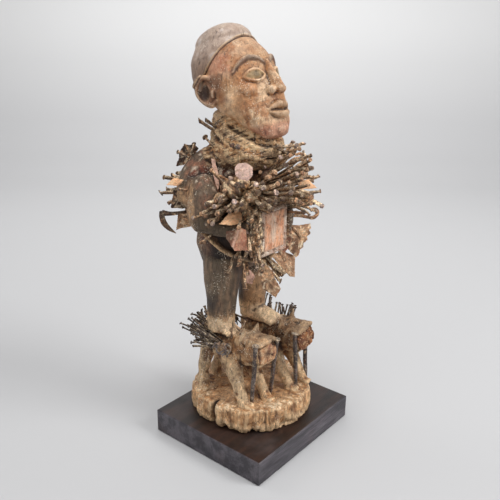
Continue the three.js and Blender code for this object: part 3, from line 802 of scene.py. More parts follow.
def carveBase():
    r = roundBase
    run = np.array([0, 1, 2, 2.5, *np.linspace(3, 7, 15), *np.linspace(7.3, 8, 3), *np.linspace(8.1, 9.9, 22), 10])
    reach, height = (np.interp(run, np.arange(len(r["profile"])), column) for column in zip(*r["profile"]))
    a, k = np.meshgrid(np.arange(r["around"]) * 2 * np.pi / r["around"], reach[1:-1])
    h = np.repeat(height[1:-1, None], r["around"], 1) * r["height"]
    edge = ramp(k, 0.8, 0.97)
    spot = np.column_stack([(np.cos(a) * r["radius"]).ravel(), (np.sin(a) * r["radius"]).ravel(), h.ravel()])
    rough = 0.01 * np.sin(5 * a + 1) + 0.012 * np.sin(13 * a)
    groove = roughNoise(spot, (6, 6, 60), 61, 3).reshape(a.shape) - 0.5
    chips = 1.5 * ramp(softNoise(spot, (17, 17, 12), 63).reshape(a.shape), 0.56, 0.78) * ramp(h, 34, 8)
    crack = r["crackDepth"] * np.exp(-((turnFrom(a, r["crack"]) / (0.035 + 0.03 * ramp(h, 45, 0))) ** 2))
    small = sum(deep * np.exp(-((turnFrom(a, degrees) / 0.03) ** 2)) for degrees, deep in r["smallCracks"])
    radius = r["radius"] * k * (1 + rough * edge) + edge * (r["groove"] * 2 * groove - 5 * chips)
    radius -= ramp(k, 0.78, 0.96) * (crack + small * ramp(h, 8, 40))
    ragged = ramp(roughNoise(spot * (1, 1, 0.4), 13, 67).reshape(a.shape), 0.5, 0.62)
    radius -= edge * 5 * ragged * ramp(h, 14, 2)
    top = ramp(h, 40, 48) * 4.4 * (roughNoise(spot, 12, 65, 4).reshape(a.shape) - 0.5)
    points = np.stack([r["centre"][0] + radius * np.cos(a), r["centre"][1] - radius * np.sin(a), h + top], -1)
    low, high = [*r["centre"], 0], [*r["centre"], 0.99 * r["height"]]
    return np.vstack([[low], points.reshape(-1, 3), [high]]), *tubeFaces(len(run) - 2, r["around"])


# How near a place is to the sash's line, in millimetres
def sashGap(p):
    line = smoothPath(body["sash"], np.linspace(0, 1, 60))
    gap = np.full(len(p), 99.0)
    near = (p[:, 2] > 300) & (p[:, 2] < 410)
    gap[near] = np.sqrt(((p[near, None] - line) ** 2).sum(-1)).min(1)
    return gap


# The colours of the carving, laid over each other from places, noise and hollows
def carvingTints(p, hollow):
    x, y, z = p.T
    wide = abs(x)
    n1, n2, n3 = roughNoise(p, 22, 71), roughNoise(p, 7, 72, 4), softNoise(p, 4, 73)
    tints, coat = coatsOn(p, 92, 64, 50)
    # legs: dark and streaked, with a painted ochre highlight along the edge, outwards on the right one and forwards on
    # the left
    legs = ramp(z, 350, 325)
    streak = roughNoise(p, (7, 7, 60), 74, 4)
    aslant = -0.635 * (wide - 48) * -np.sign(x) + 0.773 * (y - 46)
    edge = ramp(np.where(x < 0, 1, -1) * aslant + 14 * (streak - 0.5), 12, 26)
    coat(65, 51, 41, legs)
    coat(46, 35, 30, legs * ramp(streak, 0.5, 0.62) * 0.8)
    coat(122, 92, 70, legs * ramp(streak, 0.44, 0.36) * 0.7)
    coat(184, 142, 102, legs * edge * 0.8 * ramp(z, 300, 262))
    # shoulders and arms: purple brown with reddish places, and a pale edge down the arm and the elbow that is partly
    # rubbed wear and partly painted highlight
    upper = ramp(z, 340, 380)
    coat(66, 44, 37, upper * ramp(n1, 0.2, 0.45) * 0.85)
    coat(40, 27, 23, band(z, 425, 445, 500, 512) * ramp(wide, 30, 50) * 0.65)
    coat(122, 62, 44, upper * ramp(n1, 0.5, 0.6) * ramp(n3, 0.2, 0.5) * 0.65)
    coat(128, 68, 48, upper * ramp(n2, 0.56, 0.66) * 0.75)
    coat(44, 30, 26, upper * ramp(n2, 0.46, 0.38) * 0.75)
    coat(158, 128, 98, upper * ramp(n3, 0.62, 0.76) * ramp(n1, 0.42, 0.52) * 0.6)
    coat(222, 204, 182, ramp(z, 462, 480) * ramp(wide, 34, 46) * ramp(n3, 0.66, 0.74) * ramp(n2, 0.4, 0.5) * 0.9)
    leftward = 0.635 * (wide - 88) + 0.773 * (y - 48)
    armEdge = ramp(leftward + 6 * (n2 - 0.5), 17, 25) * band(z, 384, 396, 470, 490)
    coat(172, 134, 98, armEdge * ramp(y, 88, 80) * 0.8)
    elbow = ramp(y + 8 * (n2 - 0.5), 72, 88) * ramp(wide, 66, 84) * band(z, 384, 396, 455, 474)
    coat(180, 142, 104, elbow * 0.75)
    # black shadow and soot under the forearms, down to the sash
    gap = sashGap(p)
    under = band(z, 322, 330, 390, 404) * ramp(y, 52, 44) * ramp(wide, 30, 40)
    coat(28, 20, 17, under * ramp(gap, 8, 12) * 0.95)
    shade = ramp(z - 10 * (n2 - 0.5), 424, 408) * ramp(z, 364, 370) * ramp(y, 60, 42) * ramp(wide, 44, 54)
    coat(28, 20, 17, shade * ramp(gap, 8, 12) * 0.85)
    # the sash: a rubbed pale strap, with painted shade as a dark line on both sides and a painted highlight along its
    # lower edge
    coat(40, 29, 24, ramp(gap, 15, 10) * 0.8)
    coat(140, 106, 76, ramp(gap, 9.5, 8))
    _, _, sashHeight = np.array(body["sash"][4:]).T
    middle = np.interp(wide, (0, 37, 73, 81), sashHeight[:4])
    coat(204, 168, 126, ramp(abs(gap - 8), 3, 0) * ramp(middle - z, -2, 3))
    # collar
    collar = collarShare(x, y, z + 5 * n2 - 2)
    fibre = roughNoise(alongFibres(p), 7, 75, 4)
    coat(188, 136, 88, collar)
    coat(242, 204, 158, collar * ramp(fibre, 0.54, 0.64) * 0.85)
    coat(84, 52, 32, collar * ramp(fibre, 0.44, 0.36) * 0.85)
    coat(120, 78, 48, collar * ramp(n1, 0.54, 0.66) * 0.6)
    # painted shade on the collar's underside, darker towards its bottom
    coat(60, 40, 28, collar * ramp(z, 534, 508) * 0.8)
    # chest crust
    crust = ramp(y, 30, -10) * band(z, 318, 350, 480, 505) * ramp(78 - wide, 0, 22)
    coat(112, 80, 58, crust * 0.9)
    coat(206, 168, 128, crust * ramp(n2, 0.5, 0.6) * 0.8)
    # painted shadow of the irons along the forearms and beside the box, with a few paler flecks
    forearm = ramp(y, 44, 34) * band(z, 376, 382, 424, 446) * ramp(wide, 36, 44)
    beside = ramp(abs(x + 52), 20, 12) * band(z, 326, 340, 424, 436) * ramp(y, 20, 0)
    ironShadow = np.maximum(forearm, beside)
    coat(30, 21, 17, ironShadow * 0.95)
    coat(132, 100, 74, ironShadow * ramp(n2, 0.6, 0.68) * 0.5)
    # everything below the ankles is dusted with ochre clay
    dust = ramp(z - 14 * (n2 - 0.5), 222, 198)
    coat(174, 124, 79, dust)
    coat(110, 76, 50, dust * ramp(n1, 0.5, 0.6) * 0.8)
    coat(222, 186, 142, dust * ramp(n2, 0.54, 0.66) * 0.75)
    coat(88, 56, 36, dust * ramp(n2, 0.45, 0.37) * 0.85)
    coat(124, 92, 68, dust * ramp(y, 50, 66) * band(z, 54, 66, 138, 150) * 0.7)
    coat(122, 95, 73, dust * ramp(x, -44, -62) * band(z, 56, 70, 116, 136) * ramp(n2, 0.3, 0.5) * 0.7)
    ribs = roughNoise(p, (50, 5, 22), 76)
    flank = dust * band(z, 110, 125, 158, 168) * ramp(y, 70, 50) * ramp(abs(x + 38), 60, 70)
    coat(66, 42, 28, flank * ramp(ribs, 0.5, 0.58) * 0.85)
    shins = dust * ramp(abs(z - 190 - 8 * (n1 - 0.5)), 18, 6) * ramp(z, 170, 184)
    coat(250, 222, 188, shins * ramp(n2, 0.42, 0.56) * 0.6)
    coat(238, 206, 168, dust * band(z, 174, 182, 204, 214) * ramp(n1, 0.3, 0.5) * 0.8)
    # the dogs' heads and upper jaws are browner than their backs
    snout = dust * ramp(z, 138, 150) * ramp(y, -14, -26)
    coat(150, 110, 74, snout * 0.6)
    coat(116, 86, 58, snout * ramp(x, 24, 36) * 0.5)
    coat(92, 60, 38, snout * ramp(n1, 0.5, 0.6) * 0.6)
    # the top of the base is sandy and pale, its rim cleaner wood with dark splits
    fromMiddle = np.hypot(x - roundBase["centre"][0], y - roundBase["centre"][1])
    top = band(z, 40, 46, 52, 62)
    coat(202, 158, 114, top * ramp(n1, 0.36, 0.56) * 0.7)
    outer = top * ramp(fromMiddle, 84, 108)
    coat(250, 226, 190, outer * ramp(n3, 0.5, 0.66) * ramp(n1, 0.4, 0.55) * 0.8)
    rim = ramp(z, 50, 44) * ramp(fromMiddle, 106, 114)
    split = roughNoise(p, (6, 6, 70), 77, 4)
    coat(198, 150, 104, rim)
    coat(112, 74, 46, rim * ramp(split, 0.55, 0.63) * ramp(n1, 0.4, 0.6) * 0.8)
    coat(140, 96, 62, rim * ramp(n2, 0.5, 0.62) * 0.75)
    coat(232, 192, 148, rim * ramp(n2, 0.46, 0.38) * 0.6)
    # painted shade: the deep crack is painted near black inside
    away = abs(turnFrom(np.arctan2(10 - y, x - 3), roundBase["crack"]))
    coat(38, 24, 16, ramp(away, 0.055, 0.03) * ramp(z, 50, 46) * ramp(fromMiddle, 92, 98))
    # hollows get painted shade over dirt, and ridges a painted highlight over pale rubbing
    coat(40, 26, 18, ramp(hollow, 0.5, 2.2) * 0.9)
    coat(230, 198, 156, ramp(-hollow, 0.8, 2.4) * (0.12 + 0.5 * dust * (1 - 0.7 * snout) + 0.45 * collar))
    return tints


# The head's colours, and how much each place is a smooth cap rather than a face
def headTints(p, hollow):
    q = turned(p - head["centre"], (-head["tilt"], 0, 0))
    x, y, z = q.T
    wide = abs(x)
    n1, n2, n3 = roughNoise(q, 24, 81, 4), roughNoise(q, 9, 82, 4), softNoise(q, 3, 83)
    tints, coat = coatsOn(p, 190, 147, 107)
    coat(214, 180, 144, ramp(n1, 0.46, 0.64) * 0.8)
    coat(172, 118, 74, ramp(n1 + 0.3 * (n2 - 0.5), 0.5, 0.36) * 0.75)
    coat(160, 122, 94, ramp(z, 26, 50) * 0.5)
    # orange brown stains over the cheek and temple
    stain = ramp(n2, 0.47, 0.62) * ramp(softNoise(q, 34, 85), 0.42, 0.62)
    coat(160, 98, 48, stain * 0.75)
    coat(98, 60, 34, stain * ramp(n3, 0.6, 0.8) * 0.65)
    grime = ramp(roughNoise(q, 5, 86, 4), 0.54, 0.64) * ramp(softNoise(q, 26, 88), 0.35, 0.6)
    coat(128, 90, 58, grime * 0.6)
    coat(178, 118, 98, ramp(-z + 10 * (n2 - 0.5), 74, 92) * 0.7)
    coat(172, 108, 84, ramp(wide, 46, 62) * ramp(z, -6, 30) * ramp(n1, 0.4, 0.56) * 0.6)
    brow = ramp(abs(z - np.interp(wide, *zip(*head["brow"]))), 6, 3.5) * (y < 0)
    coat(88, 66, 56, brow * band(wide, 4, 8, 57, 62) * 0.8)
    eye = ((wide - 30) / 16) ** 2 + ((z - 3.5) / 7.5) ** 2
    coat(158, 136, 98, ramp(eye, 1.15, 0.7) * (y < 0) * 0.8)
    pupil = ((wide - 30) / 6.5) ** 2 + ((z - 4.5) / 5.5) ** 2
    coat(92, 76, 52, ramp(pupil, 1.2, 0.5) * (y < 0) * 0.6)
    lips = ramp(-y, 58, 62) * ramp(abs(z + 61), 17, 13) * ramp(wide, 29, 24)
    coat(160, 122, 86, lips * ramp(n2, 0.3, 0.5) * 0.8)
    coat(122, 82, 58, ramp(wide, 66, 70) * ramp(abs(z + 8), 28, 22) * 0.8)
    bowl = ((y - 25) / 10) ** 2 + ((z + 8) / 14) ** 2
    coat(46, 30, 22, ramp(bowl, 1.1, 0.6) * ramp(wide, 60, 66) * 0.8)
    # painted shade in the hollows and a painted highlight on the ridges
    coat(58, 36, 26, ramp(hollow, 0.3, 1.5) * 0.85)
    coat(232, 206, 176, ramp(-hollow, 0.5, 1.5) * 0.4)
    # the cap is painted paler towards its top as a painted highlight, with patches of painted sheen
    high = ramp(z + 16 * (n1 - 0.5), 24, 76)
    capTints, coatCap = coatsOn(p, 132, 104, 84)
    coatCap(170, 148, 132, high)
    coatCap(198, 184, 176, high * ramp(n1, 0.46, 0.62) * 0.8)
    coatCap(112, 84, 65, ramp(n2, 0.54, 0.68) * (0.5 - 0.3 * high))
    coatCap(104, 76, 62, ramp(roughNoise(q, (7, 7, 34), 87), 0.54, 0.66) * 0.25)
    # painted shade in the cap's hollows
    coatCap(66, 46, 38, ramp(hollow, 0.25, 1.0) * 0.8)
    # a pale line on the edge of the cap and a dark one under it
    over = rimHeight(q)
    coatCap(206, 176, 138, ramp(abs(over - 1.6), 1.6, 0.6) * 0.7)
    coat(62, 40, 28, ramp(abs(over + 1.6), 2, 0.5) * 0.8)
    cap = ramp(over, -0.6, 0.8)
    return tints + (capTints - tints) * cap[:, None], 0.72 + 0.28 * cap


def carveFigure():
    parts = [carveHead(), carveBody(), carveBase()]
    shell = together(parts)
    points = shell[0]
    mesh = makeMesh("carving", (points + (0, 0, baseLift)) / 1000, *shell[1:])
    hollow = hollowness(mesh, points, arraysOf(mesh)[3], 14)
    bpy.data.meshes.remove(mesh)
    tints = carvingTints(points, hollow)
    z = points[:, 2]
    sheen = 0.6 * band(z, 215, 235, 325, 345) + 0.12 * band(z, 380, 395, 490, 505)
    sheen += 0.36 * ramp(z, 222, 198) - collarShare(*points.T)
    own = slice(0, len(parts[0][0]))  # the head
    tints[own], sheen[own] = headTints(points[own], hollow[own])
    print("carving", len(shell[1]) * 2 + len(shell[2]), "triangles")
    return addPiece("carvedFigure", shell, tints, "carved_wood", "carved_figure", extra=sheen), shell


figure, carvedShell = carveFigure()

# Irons. All of them point away from one place in the chest or in a dog's back, and their feet sit
# in the wood where the solids' feet do.

irons = {
    "core": (0, 30, 420),
    "driven": 14,
    "ballCore": (0, 30, 446),  # where the nails that only the scene has point away from
    "nailRadius": 2.8,
    "headRadius": 4.8,
    "sides": 7,
    "farthest": 154,  # how far back a tip may lie
    # a nail's rings: share of the shank, how far under the tip, and share of the head's radius
    "rings": [(0.02, 0, 0), (0.24, 0, 0), (0.44, 0, 0), (0.62, 0, 0), (0.78, 0, 0), (0.91, 0, 0), (1, 2.6, 0),
              (1, 2.2, 1), (1, 0.3, 0.9)],
    "offWood": {"tan_plate": 9, "small_plate": 28},  # how far a plate that is seen broad lies off the wood
    "usualOffWood": 3,
    "stray": (1, 0.5, 1),  # how far aims stray along X, Y and Z for each unit
    "shortest": 12,  # what stands out of the wood less than this is left out
    "bareArm": (64, 404),  # wood beyond this to the side and above this is arm
    # the space kept for the belly box: middle and half size across and up, then front and back
    "boxSpace": ((1, 41), (386, 48.5), (-51, 2)),
}
rust = {
    "dark": (60, 42, 33),
    "brown": (168, 126, 94),
    "earth": (226, 182, 140),
    "cream": (255, 232, 198),
    "head": (196, 174, 168),
    "pink": (226, 182, 162),
    "tan": (255, 200, 152),
    "sheet": (196, 136, 110),
    "grey": (112, 104, 102),
}
core, ballCore = np.array(irons["core"], float), np.array(irons["ballCore"], float)
ironPieces = []
woodTree = BVHTree.FromPolygons(carvedShell[0].tolist(), carvedShell[1].tolist() + carvedShell[2].tolist())


# Away from the core: azimuth 0 is ahead and 90 to the man's left, in degrees
def heading(azimuth, elevation):
    a, e = np.radians(azimuth), np.radians(elevation)
    return np.stack([np.sin(a) * np.cos(e), -np.cos(a) * np.cos(e), np.sin(e) + 0 * a], -1)


def nodePoints(name):
    return valuesOf(nodes[name].data.vertices, "co", 3, np.float32) * 1000.0 - (0, 0, baseLift)


# An iron's own across, lift and out directions. At roll 0 across is level, at 90 it points down. For a
# plate that the picture shows broad, the face says where its lift looks.
def ironAxes(direction, roll=0, face=None):
    if face is not None:
        lift = heading(*face)
        out = unit(direction - lift * (direction @ lift))
        return np.array([np.cross(lift, out), lift, out])
    out = unit(direction)
    across = unit(np.cross(out, (0, 0, 1)))
    r = np.radians(roll)
    across = across * np.cos(r) + np.cross(out, across) * np.sin(r)
    return np.array([across, np.cross(out, across), out])


# Where lines from outside towards the core first meet the wood, as points
def woodUnder(heads, cores):
    found = []
    for top, middle in zip(heads, cores):
        place, _, _, _ = woodTree.ray_cast(Vector(top), Vector(middle - top).normalized())
        found.append(middle if place is None else np.array(place))
    return np.array(found)


# Forged nails as one mesh. A point at share S of the shank and turn A lies at
# foot + (tip - foot) * S + bend * (S^2 - 0.35 S) + hook * S^5, and the radius around it is taper * lumps.
def forgedNails(feet, tips, radius, headRadius, seed, crust=0.5, tones=("brown", "earth"), bend=0.04,
                caps=("dark", "dark", "brown", "brown", "grey", "head")):
    count = len(feet)
    rng = np.random.default_rng(seed)
    radius = np.broadcast_to(radius, count) * rng.uniform(0.8, 1.25, count)
    headRadius = np.broadcast_to(headRadius, count) * rng.uniform(0.85, 1.15, count)
    length = np.linalg.norm(tips - feet, axis=1)
    out = (tips - feet) / length[:, None]
    across = unit(np.cross(out, np.where(abs(out[:, 2:]) > 0.9, [[1.0, 0, 0]], [[0, 0, 1.0]])))
    lift = np.cross(out, across)
    share, below, ofHead = np.array(irons["rings"]).T
    rings, sides = len(share), irons["sides"]
    angle = np.arange(sides) * 2 * np.pi / sides
    cosine, sine = np.cos(angle), np.sin(angle)
    lumps = 1 + crust * rng.uniform(-0.36, 0.56, (count, rings, sides)) * (1 - ofHead[:, None])
    chipped = 1 + rng.uniform(-0.2, 0.12, (count, 1, sides)) * ofHead[:, None]
    size = np.where(ofHead > 0, headRadius[:, None] * ofHead, radius[:, None] * (0.75 + 0.25 * share))
    size = size[..., None] * lumps * chipped
    along = share * length[:, None] - below
    tilt = rng.normal(0, 0.24, (count, 2))
    rise = ofHead[:, None] * size * (tilt[:, :1, None] * cosine + tilt[:, 1:, None] * sine)
    sway = rng.normal(0, bend, (count, 2)) * length[:, None]
    hook = np.clip(rng.normal(0, 3 * bend, (count, 2)), -0.1, 0.1) * length[:, None]
    hook *= rng.random((count, 1)) < 0.2
    sideways, upways = (s[:, None] * (share**2 - 0.35 * share) + h[:, None] * share**5
                        for s, h in zip(sway.T, hook.T))

    def placed(a, b, c):
        points = feet[:, None, None] + a[..., None] * across[:, None, None] + b[..., None] * lift[:, None, None]
        return (points + c[..., None] * out[:, None, None]).reshape(count, -1, 3)

    shank = placed(sideways[..., None] + size * cosine, upways[..., None] + size * sine, along[..., None] + rise)
    foot, top = (placed(sideways[:, k, None, None], upways[:, k, None, None], along[:, k, None, None] + over)
                 for k, over in ((0, 0), (-1, 0.5)))
    points = np.concatenate([foot, shank, top], 1)
    quads, tris = tubeFaces(rings, sides)
    starts = points.shape[1] * np.arange(count)[:, None, None]
    low, high = (colour(*rust[tone]) for tone in tones)
    mixed = rng.random((count, 1, 1)) * 0.5 + 0.5 * rng.random((count, rings, sides))
    tint = low + (high - low) * mixed[..., None]
    cream = ramp(lumps, 1 + 0.1 * crust, 1 + 0.5 * crust) * (rng.random((count, 1, 1)) < 0.8)
    lay(tint, rust["cream"], cream * 0.9 * crust)
    lay(tint, rust["dark"], ramp(lumps, 1 - 0.08 * crust, 1 - 0.34 * crust) * 0.8)
    # a painted highlight with dust lies on what faces up, and undersides get painted shade
    up = cosine * across[:, 2, None, None] + sine * lift[:, 2, None, None] + rng.normal(0, 0.28, lumps.shape)
    lay(tint, rust["cream"], ramp(up, 0.25, 0.95) * (0.25 + 0.5 * crust))
    lay(tint, rust["dark"], ramp(up, 0.15, -0.7) * 0.75)
    tops = np.array([colour(*rust[tone]) for tone in caps])[rng.integers(0, len(caps), count)][:, None, None]
    tint += (tops - tint) * ofHead[:, None, None] * rng.uniform(0.6, 1, (count, 1, 1, 1))
    tint *= rng.uniform(0.6, 1.2, (count, 1, 1, 1))
    # painted shade towards the root, where the nail meets the wood
    tint *= (0.28 + 0.72 * ramp(share, 0.14, 0.5))[:, None, None]
    tints = np.concatenate([tint[:, 0, :1], tint.reshape(count, -1, 3), tint[:, -1, :1]], 1)
    shell = points.reshape(-1, 3), (quads + starts).reshape(-1, 4), (tris + starts).reshape(-1, 3)
    return shell, tints.reshape(-1, 3)


def addIron(name, shell, tints, *replaced, worn=None):
    ironPieces.append(addPiece(name, shell, tints, "iron", *replaced, extra=worn, smooth=False))


# The forged form of a solid iron
def addForged(solid, shell, tints, worn=None):
    addIron(solid.replace("_", "-") + "-forged", shell, tints, solid, worn=worn)


fans = [
    ("throat_nail", 50, 150, (-8, 47, 68)),
    ("chest_nail", 33, 148, (-76, -36, 0, 56, 80)),
    ("breast_nail", 17, 142, (-84, -56, -26, 10, 68)),
    ("side_nail", 1, 140, (-88, -54, 76)),
    ("flank_nail", -18, 134, (-84, 82)),
    ("lap_nail", -52, 144, (-72, 74, 55)),
    ("back_nail", 14, 132, (-150, 176, 142)),
    ("loin_nail", -12, 126, (-164, 158)),
]
taken = []  # headings already used


def driveOne(solid, start, direction, reach, size, seed, **finish):
    start = np.asarray(start, float)
    inner = ((nodePoints(solid) - start) @ direction).min()
    feet, tips = start + direction * inner, start + direction * reach
    radii = irons["nailRadius"] * size, irons["headRadius"] * size
    addForged(solid, *forgedNails(feet[None], tips[None], *radii, seed, **finish))


def driveFans():
    seed = 100
    for name, elevation, reach, azimuths in fans:
        for i, azimuth in enumerate(azimuths):
            uneven = np.sin(i * 2.4 + elevation)
            direction = heading(azimuth, elevation + 4 * uneven)
            taken.append(direction)
            driveOne(f"{name}_{i + 1}", core, direction, reach * (1 + 0.05 * uneven), 1, seed)
            seed += 1
    for n, dog in enumerate(dogs):
        for i, step in enumerate((-22, 0, 22)):
            start = (dog["x"] + step * 0.4, dog["y"] + 66, 150)
            driveOne(f"dog_{n + 1}_nail_{i + 1}", start, heading(180 - step * 2.4, 30 + i * 5), 62, 0.8, seed,
                     crust=0.3, tones=("dark", "grey"), caps=("dark", "grey"))
            seed += 1


# The four long spikes at the dogs' mouths, a little bent
spikes = {
    # foot and top
    "places": [((-63, -46, 49), (-67, -57, 180)), ((-14, -53, 49), (-9, -64, 174)),
               ((42, -77, 49), (34, -75, 174)), ((81, -73, 49), (87, -65, 141))],
    "radius": 4.1,
    "headRadius": 7.6,
    # stations: share of the way up, sway sideways and ahead, and thickness
    "stations": [(0, 0, 0, 0.75), (0.3, 1.2, 0.4, 0.95), (0.55, 0.2, 0.6, 1), (0.8, -0.5, -0.2, 1.02),
                 (1, 0, 0, 0.95)],
}


def driveSpikes():
    for n, (foot, top) in enumerate(np.array(spikes["places"], float)):
        out = unit(top - foot)
        foot = foot - out * irons["driven"]
        share, aside, ahead, thick = np.array(spikes["stations"]).T
        sway = np.column_stack([aside, ahead, 0 * aside]) * (1 if n % 2 else -1)
        path = foot + out * (share * (np.linalg.norm(top - foot) - 2.5))[:, None] + sway
        half = spikes["radius"] * thick[:, None]
        shank = limb(np.hstack([path, half, half, half]), around=14, along=22, caps=(1, 1), boxy=0.8, blunt=0.5)
        wide = spikes["headRadius"]
        head, *faces = egg((0, 0, 0), (wide, wide * 0.86, 1.9), around=14, rings=7)
        p, *faces = together([shank, (head @ ironAxes(out) + top - out * 1.6, *faces)])
        tints, coat = coatsOn(p, 78, 70, 68)
        coat(122, 112, 106, ramp(roughNoise(p, 9, 91), 0.45, 0.65))
        coat(92, 66, 50, ramp(roughNoise(p, 5, 92), 0.58, 0.72) * 0.8)
        coat(190, 172, 150, ramp((p - top) @ out, -4.5, -1.5) * 0.8)
        coat(150, 118, 86, ramp((p - foot) @ out, 24, 10) * 0.8)
        addForged(f"mouth_spike_{n + 1}", (p + 0.5 * jitter(p, 3.5, 90, softNoise), *faces), tints)


focal = camera["lens"] / camera["sensor"] * camera["pixels"]
middlePixel = camera["pixels"] / 2


# Camera rays through a place in the photograph, from its column and row
def sightLine(column, row):
    right, up, ahead = cameraAxes()
    way = ahead + right * (column - middlePixel) / focal + up * (middlePixel - row) / focal
    return np.array(camera["place"]) * 1000 - (0, 0, baseLift), unit(way)


# The place on that ray that is this far from the core, on the near side (or the far one), or else the
# ray's nearest place to the core
def onBall(column, row, reach, far=False):
    eye, way = sightLine(column, row)
    middle = (ballCore - eye) @ way
    off = ((ballCore - eye) ** 2).sum() - middle**2
    step = np.sqrt(max(reach**2 - off, 0))
    run = middle + (step if far else -step)
    return eye + way * min(run, (irons["farthest"] - eye[1]) / way[1])


# Nails read from the photograph: column, row, reach from the core, size of head, and where the column and
# row of the root show, those too
seenNails = [
    # the middle, pointing out at the chest's right front
    (235.2, 180.7, 112, 6.6), (224.3, 190, 112, 4.6), (244, 185.5, 116, 4.4, 250, 192),
    (257.9, 192.1, 128, 5.8, 251, 187), (261.4, 206.4, 138, 5.4, 250, 196), (272.9, 209.3, 142, 5.2, 258, 198),
    (254.5, 182, 124, 4.4, 246, 192), (250.5, 199, 126, 4.2, 247, 190), (241, 203, 124, 4.2, 246, 194),
    (236, 191, 118, 4.4, 244, 197), (233.5, 196.5, 118, 4.6, 243, 200), (246, 194, 112, 4, 240, 205),
    # towards the right of the picture, nearly level
    (275, 172.9, 128, 5, 262, 180), (270, 178.6, 128, 4.6, 256, 187), (281.4, 182.9, 138, 5.6, 262, 190),
    (290, 182, 142, 5.8, 266, 188), (280.7, 195.7, 142, 5, 262, 193), (287.9, 195.7, 144, 5, 268, 194),
    (267.9, 201.4, 138, 5, 254, 194), (296.4, 201.4, 142, 5.2, 272, 198), (291.4, 170.7, 136, 4.8, 268, 182),
    (265.5, 190.5, 136, 4.4, 252, 190), (273.5, 189.5, 138, 4.4, 256, 191), (262.5, 181, 126, 4.4, 252, 188),
    (296, 188, 146, 5, 270, 191), (303.5, 180.5, 150, 4.8, 272, 187), (285.5, 164.5, 134, 4.6, 266, 178),
    (297.5, 175.5, 146, 4.6, 270, 184), (276, 203, 140, 4.6, 260, 197), (283.5, 200.5, 142, 4.4, 262, 196),
    # the right edge
    (297, 143.8, 156, 6, 274, 148), (299.5, 148.5, 156, 5, 282, 153), (291.5, 153.5, 150, 4.6, 270, 168),
    (313, 168, 158, 5.4, 280, 181), (310.5, 164.3, 158, 4.8, 282, 176), (306, 172.5, 150, 4.6, 276, 184),
    (303, 163, 152, 5, 278, 175), (310.5, 196.4, 152, 5.4, 286, 196.5), (301.5, 200.5, 148, 5, 280, 198),
    (309.8, 204.3, 150, 5.4, 286, 208), (313.5, 191, 152, 4.6, 288, 191), (306, 219.3, 146, 4.8, 288, 222),
    (304.5, 212.4, 142, 4.6, 286, 212), (299.5, 208.4, 140, 4.4, 284, 208), (309, 212.6, 148, 4, 287, 215),
    (300.5, 227.6, 142, 4.4, 286, 229), (297, 217, 138, 4.4, 285, 218), (303, 193.5, 144, 4.4, 282, 194),
    (302, 223.5, 144, 4.6, 288, 226), (308.5, 200.2, 148, 4, 284, 203), (307, 187, 150, 4, 282, 190),
    # towards the lower left, over the arm
    (207, 203, 138, 4.8, 229, 195.5), (204.3, 215.5, 136, 4.8, 226, 206.5), (206.2, 225, 134, 4.8, 222, 218),
    (203.5, 211.5, 138, 4.2, 224, 201.5), (213.5, 207.5, 134, 4.6, 231, 200.5), (212, 219.5, 134, 4.6, 228, 210),
    (221, 200.5, 128, 4.6, 233, 196), (217, 212.5, 134, 4.4, 232, 204.5), (226, 208, 130, 4.6, 236, 200),
    (219.5, 196.3, 126, 4.4, 232, 191.5), (209.5, 222, 134, 4, 224, 214), (230, 211, 130, 4.4, 239, 203),
    (233, 206.5, 128, 4.8, 240, 199), (236, 211, 130, 4.2, 243, 203), (215, 201, 132, 4, 230, 194),
    # down over the belly
    (246.3, 267, 152, 4.4, 246, 251), (238.6, 261, 148, 4.6, 239.5, 250), (245.7, 289.5, 172, 4.8, 243, 255),
    (242.5, 264.5, 150, 4, 243.5, 250), (243.6, 232, 128, 4.2, 250, 214),
    (236, 256.5, 144, 3.8, 240, 250), (219, 233, 122, 7.5, 224, 230), (240.5, 268, 150, 4, 239.5, 250),
    (256.5, 266, 154, 4, 250, 249), (262, 272, 158, 4.2, 255, 256), (259.5, 287, 172, 4, 257, 262),
    # under the box
    (283, 276, 168, 5.6, 265.5, 258.5), (281.4, 281.6, 170, 5.4, 262.5, 263), (279, 273, 164, 4.6, 262, 257),
    (271.5, 272, 158, 4.6, 259, 256), (266.5, 268.5, 154, 4.4, 257, 254), (286, 272.5, 164, 4.4, 268, 257),
]
# Nails close beside the box: column and row of the tip and of the root
besideBox = [
    (250, 242, 250, 226), (253, 245, 251, 229), (247, 224, 257, 205), (258.5, 255, 252, 232), (258, 268, 251, 243),
    (255.5, 233, 256.5, 211), (259.8, 247, 256, 224), (252.5, 223, 254, 206), (250.5, 258, 249, 238),
    (254.5, 263, 251, 241), (261, 262, 257.5, 240), (262.4, 231, 260, 213), (248, 251, 249, 233),
    (245, 243, 250, 224), (262, 239, 259, 219), (246.5, 258.5, 247, 240),
    (259.5, 226, 259, 208), (251, 236, 253.5, 216), (257, 244, 254, 222), (263, 254, 259, 232),
    (244.5, 236, 246.5, 217), (243, 224, 249.5, 206), (250.5, 228, 257.5, 207), (246.5, 233, 249, 212),
    (240, 227, 246, 205),
    (253.5, 230, 256, 209), (248, 240, 251.5, 221), (252, 252, 249, 232),
]
# Nails behind the right arm, on the ball's far side
seenBehind = [
    (163.5, 175.7, 168, 6), (172, 174, 150, 4.8), (177, 171.6, 142, 4.6), (160, 193, 166, 5.6),
    (166, 189.5, 150, 4.6), (168, 200, 150, 4.8), (171, 180.5, 150, 4.6), (174, 197.5, 140, 4.8),
    (178.5, 203, 140, 4.6), (180, 217, 138, 4.6),
]


def crossesBox(feet, tips):
    (middle, wide), (height, tall), (front, back) = irons["boxSpace"]
    for share in np.linspace(0, 1, 16):
        x, y, z = (feet + (tips - feet) * share).T
        yield (abs(x - middle) < wide) & (abs(z - height) < tall) & (y < back) & (y > front)


# Boxes of the picture (left, top, right, bottom) where a plate or the panel shows: no filling nail crosses them
keptClear = [
    (219, 211, 243, 226), (226, 227, 248, 251), (262, 212, 290, 250), (242, 269, 255, 285), (236, 163, 253, 181),
    (258, 264, 280, 297), (211, 158, 220, 190), (289, 224, 308, 250), (279, 254, 295, 277), (228, 140, 262, 160),
]


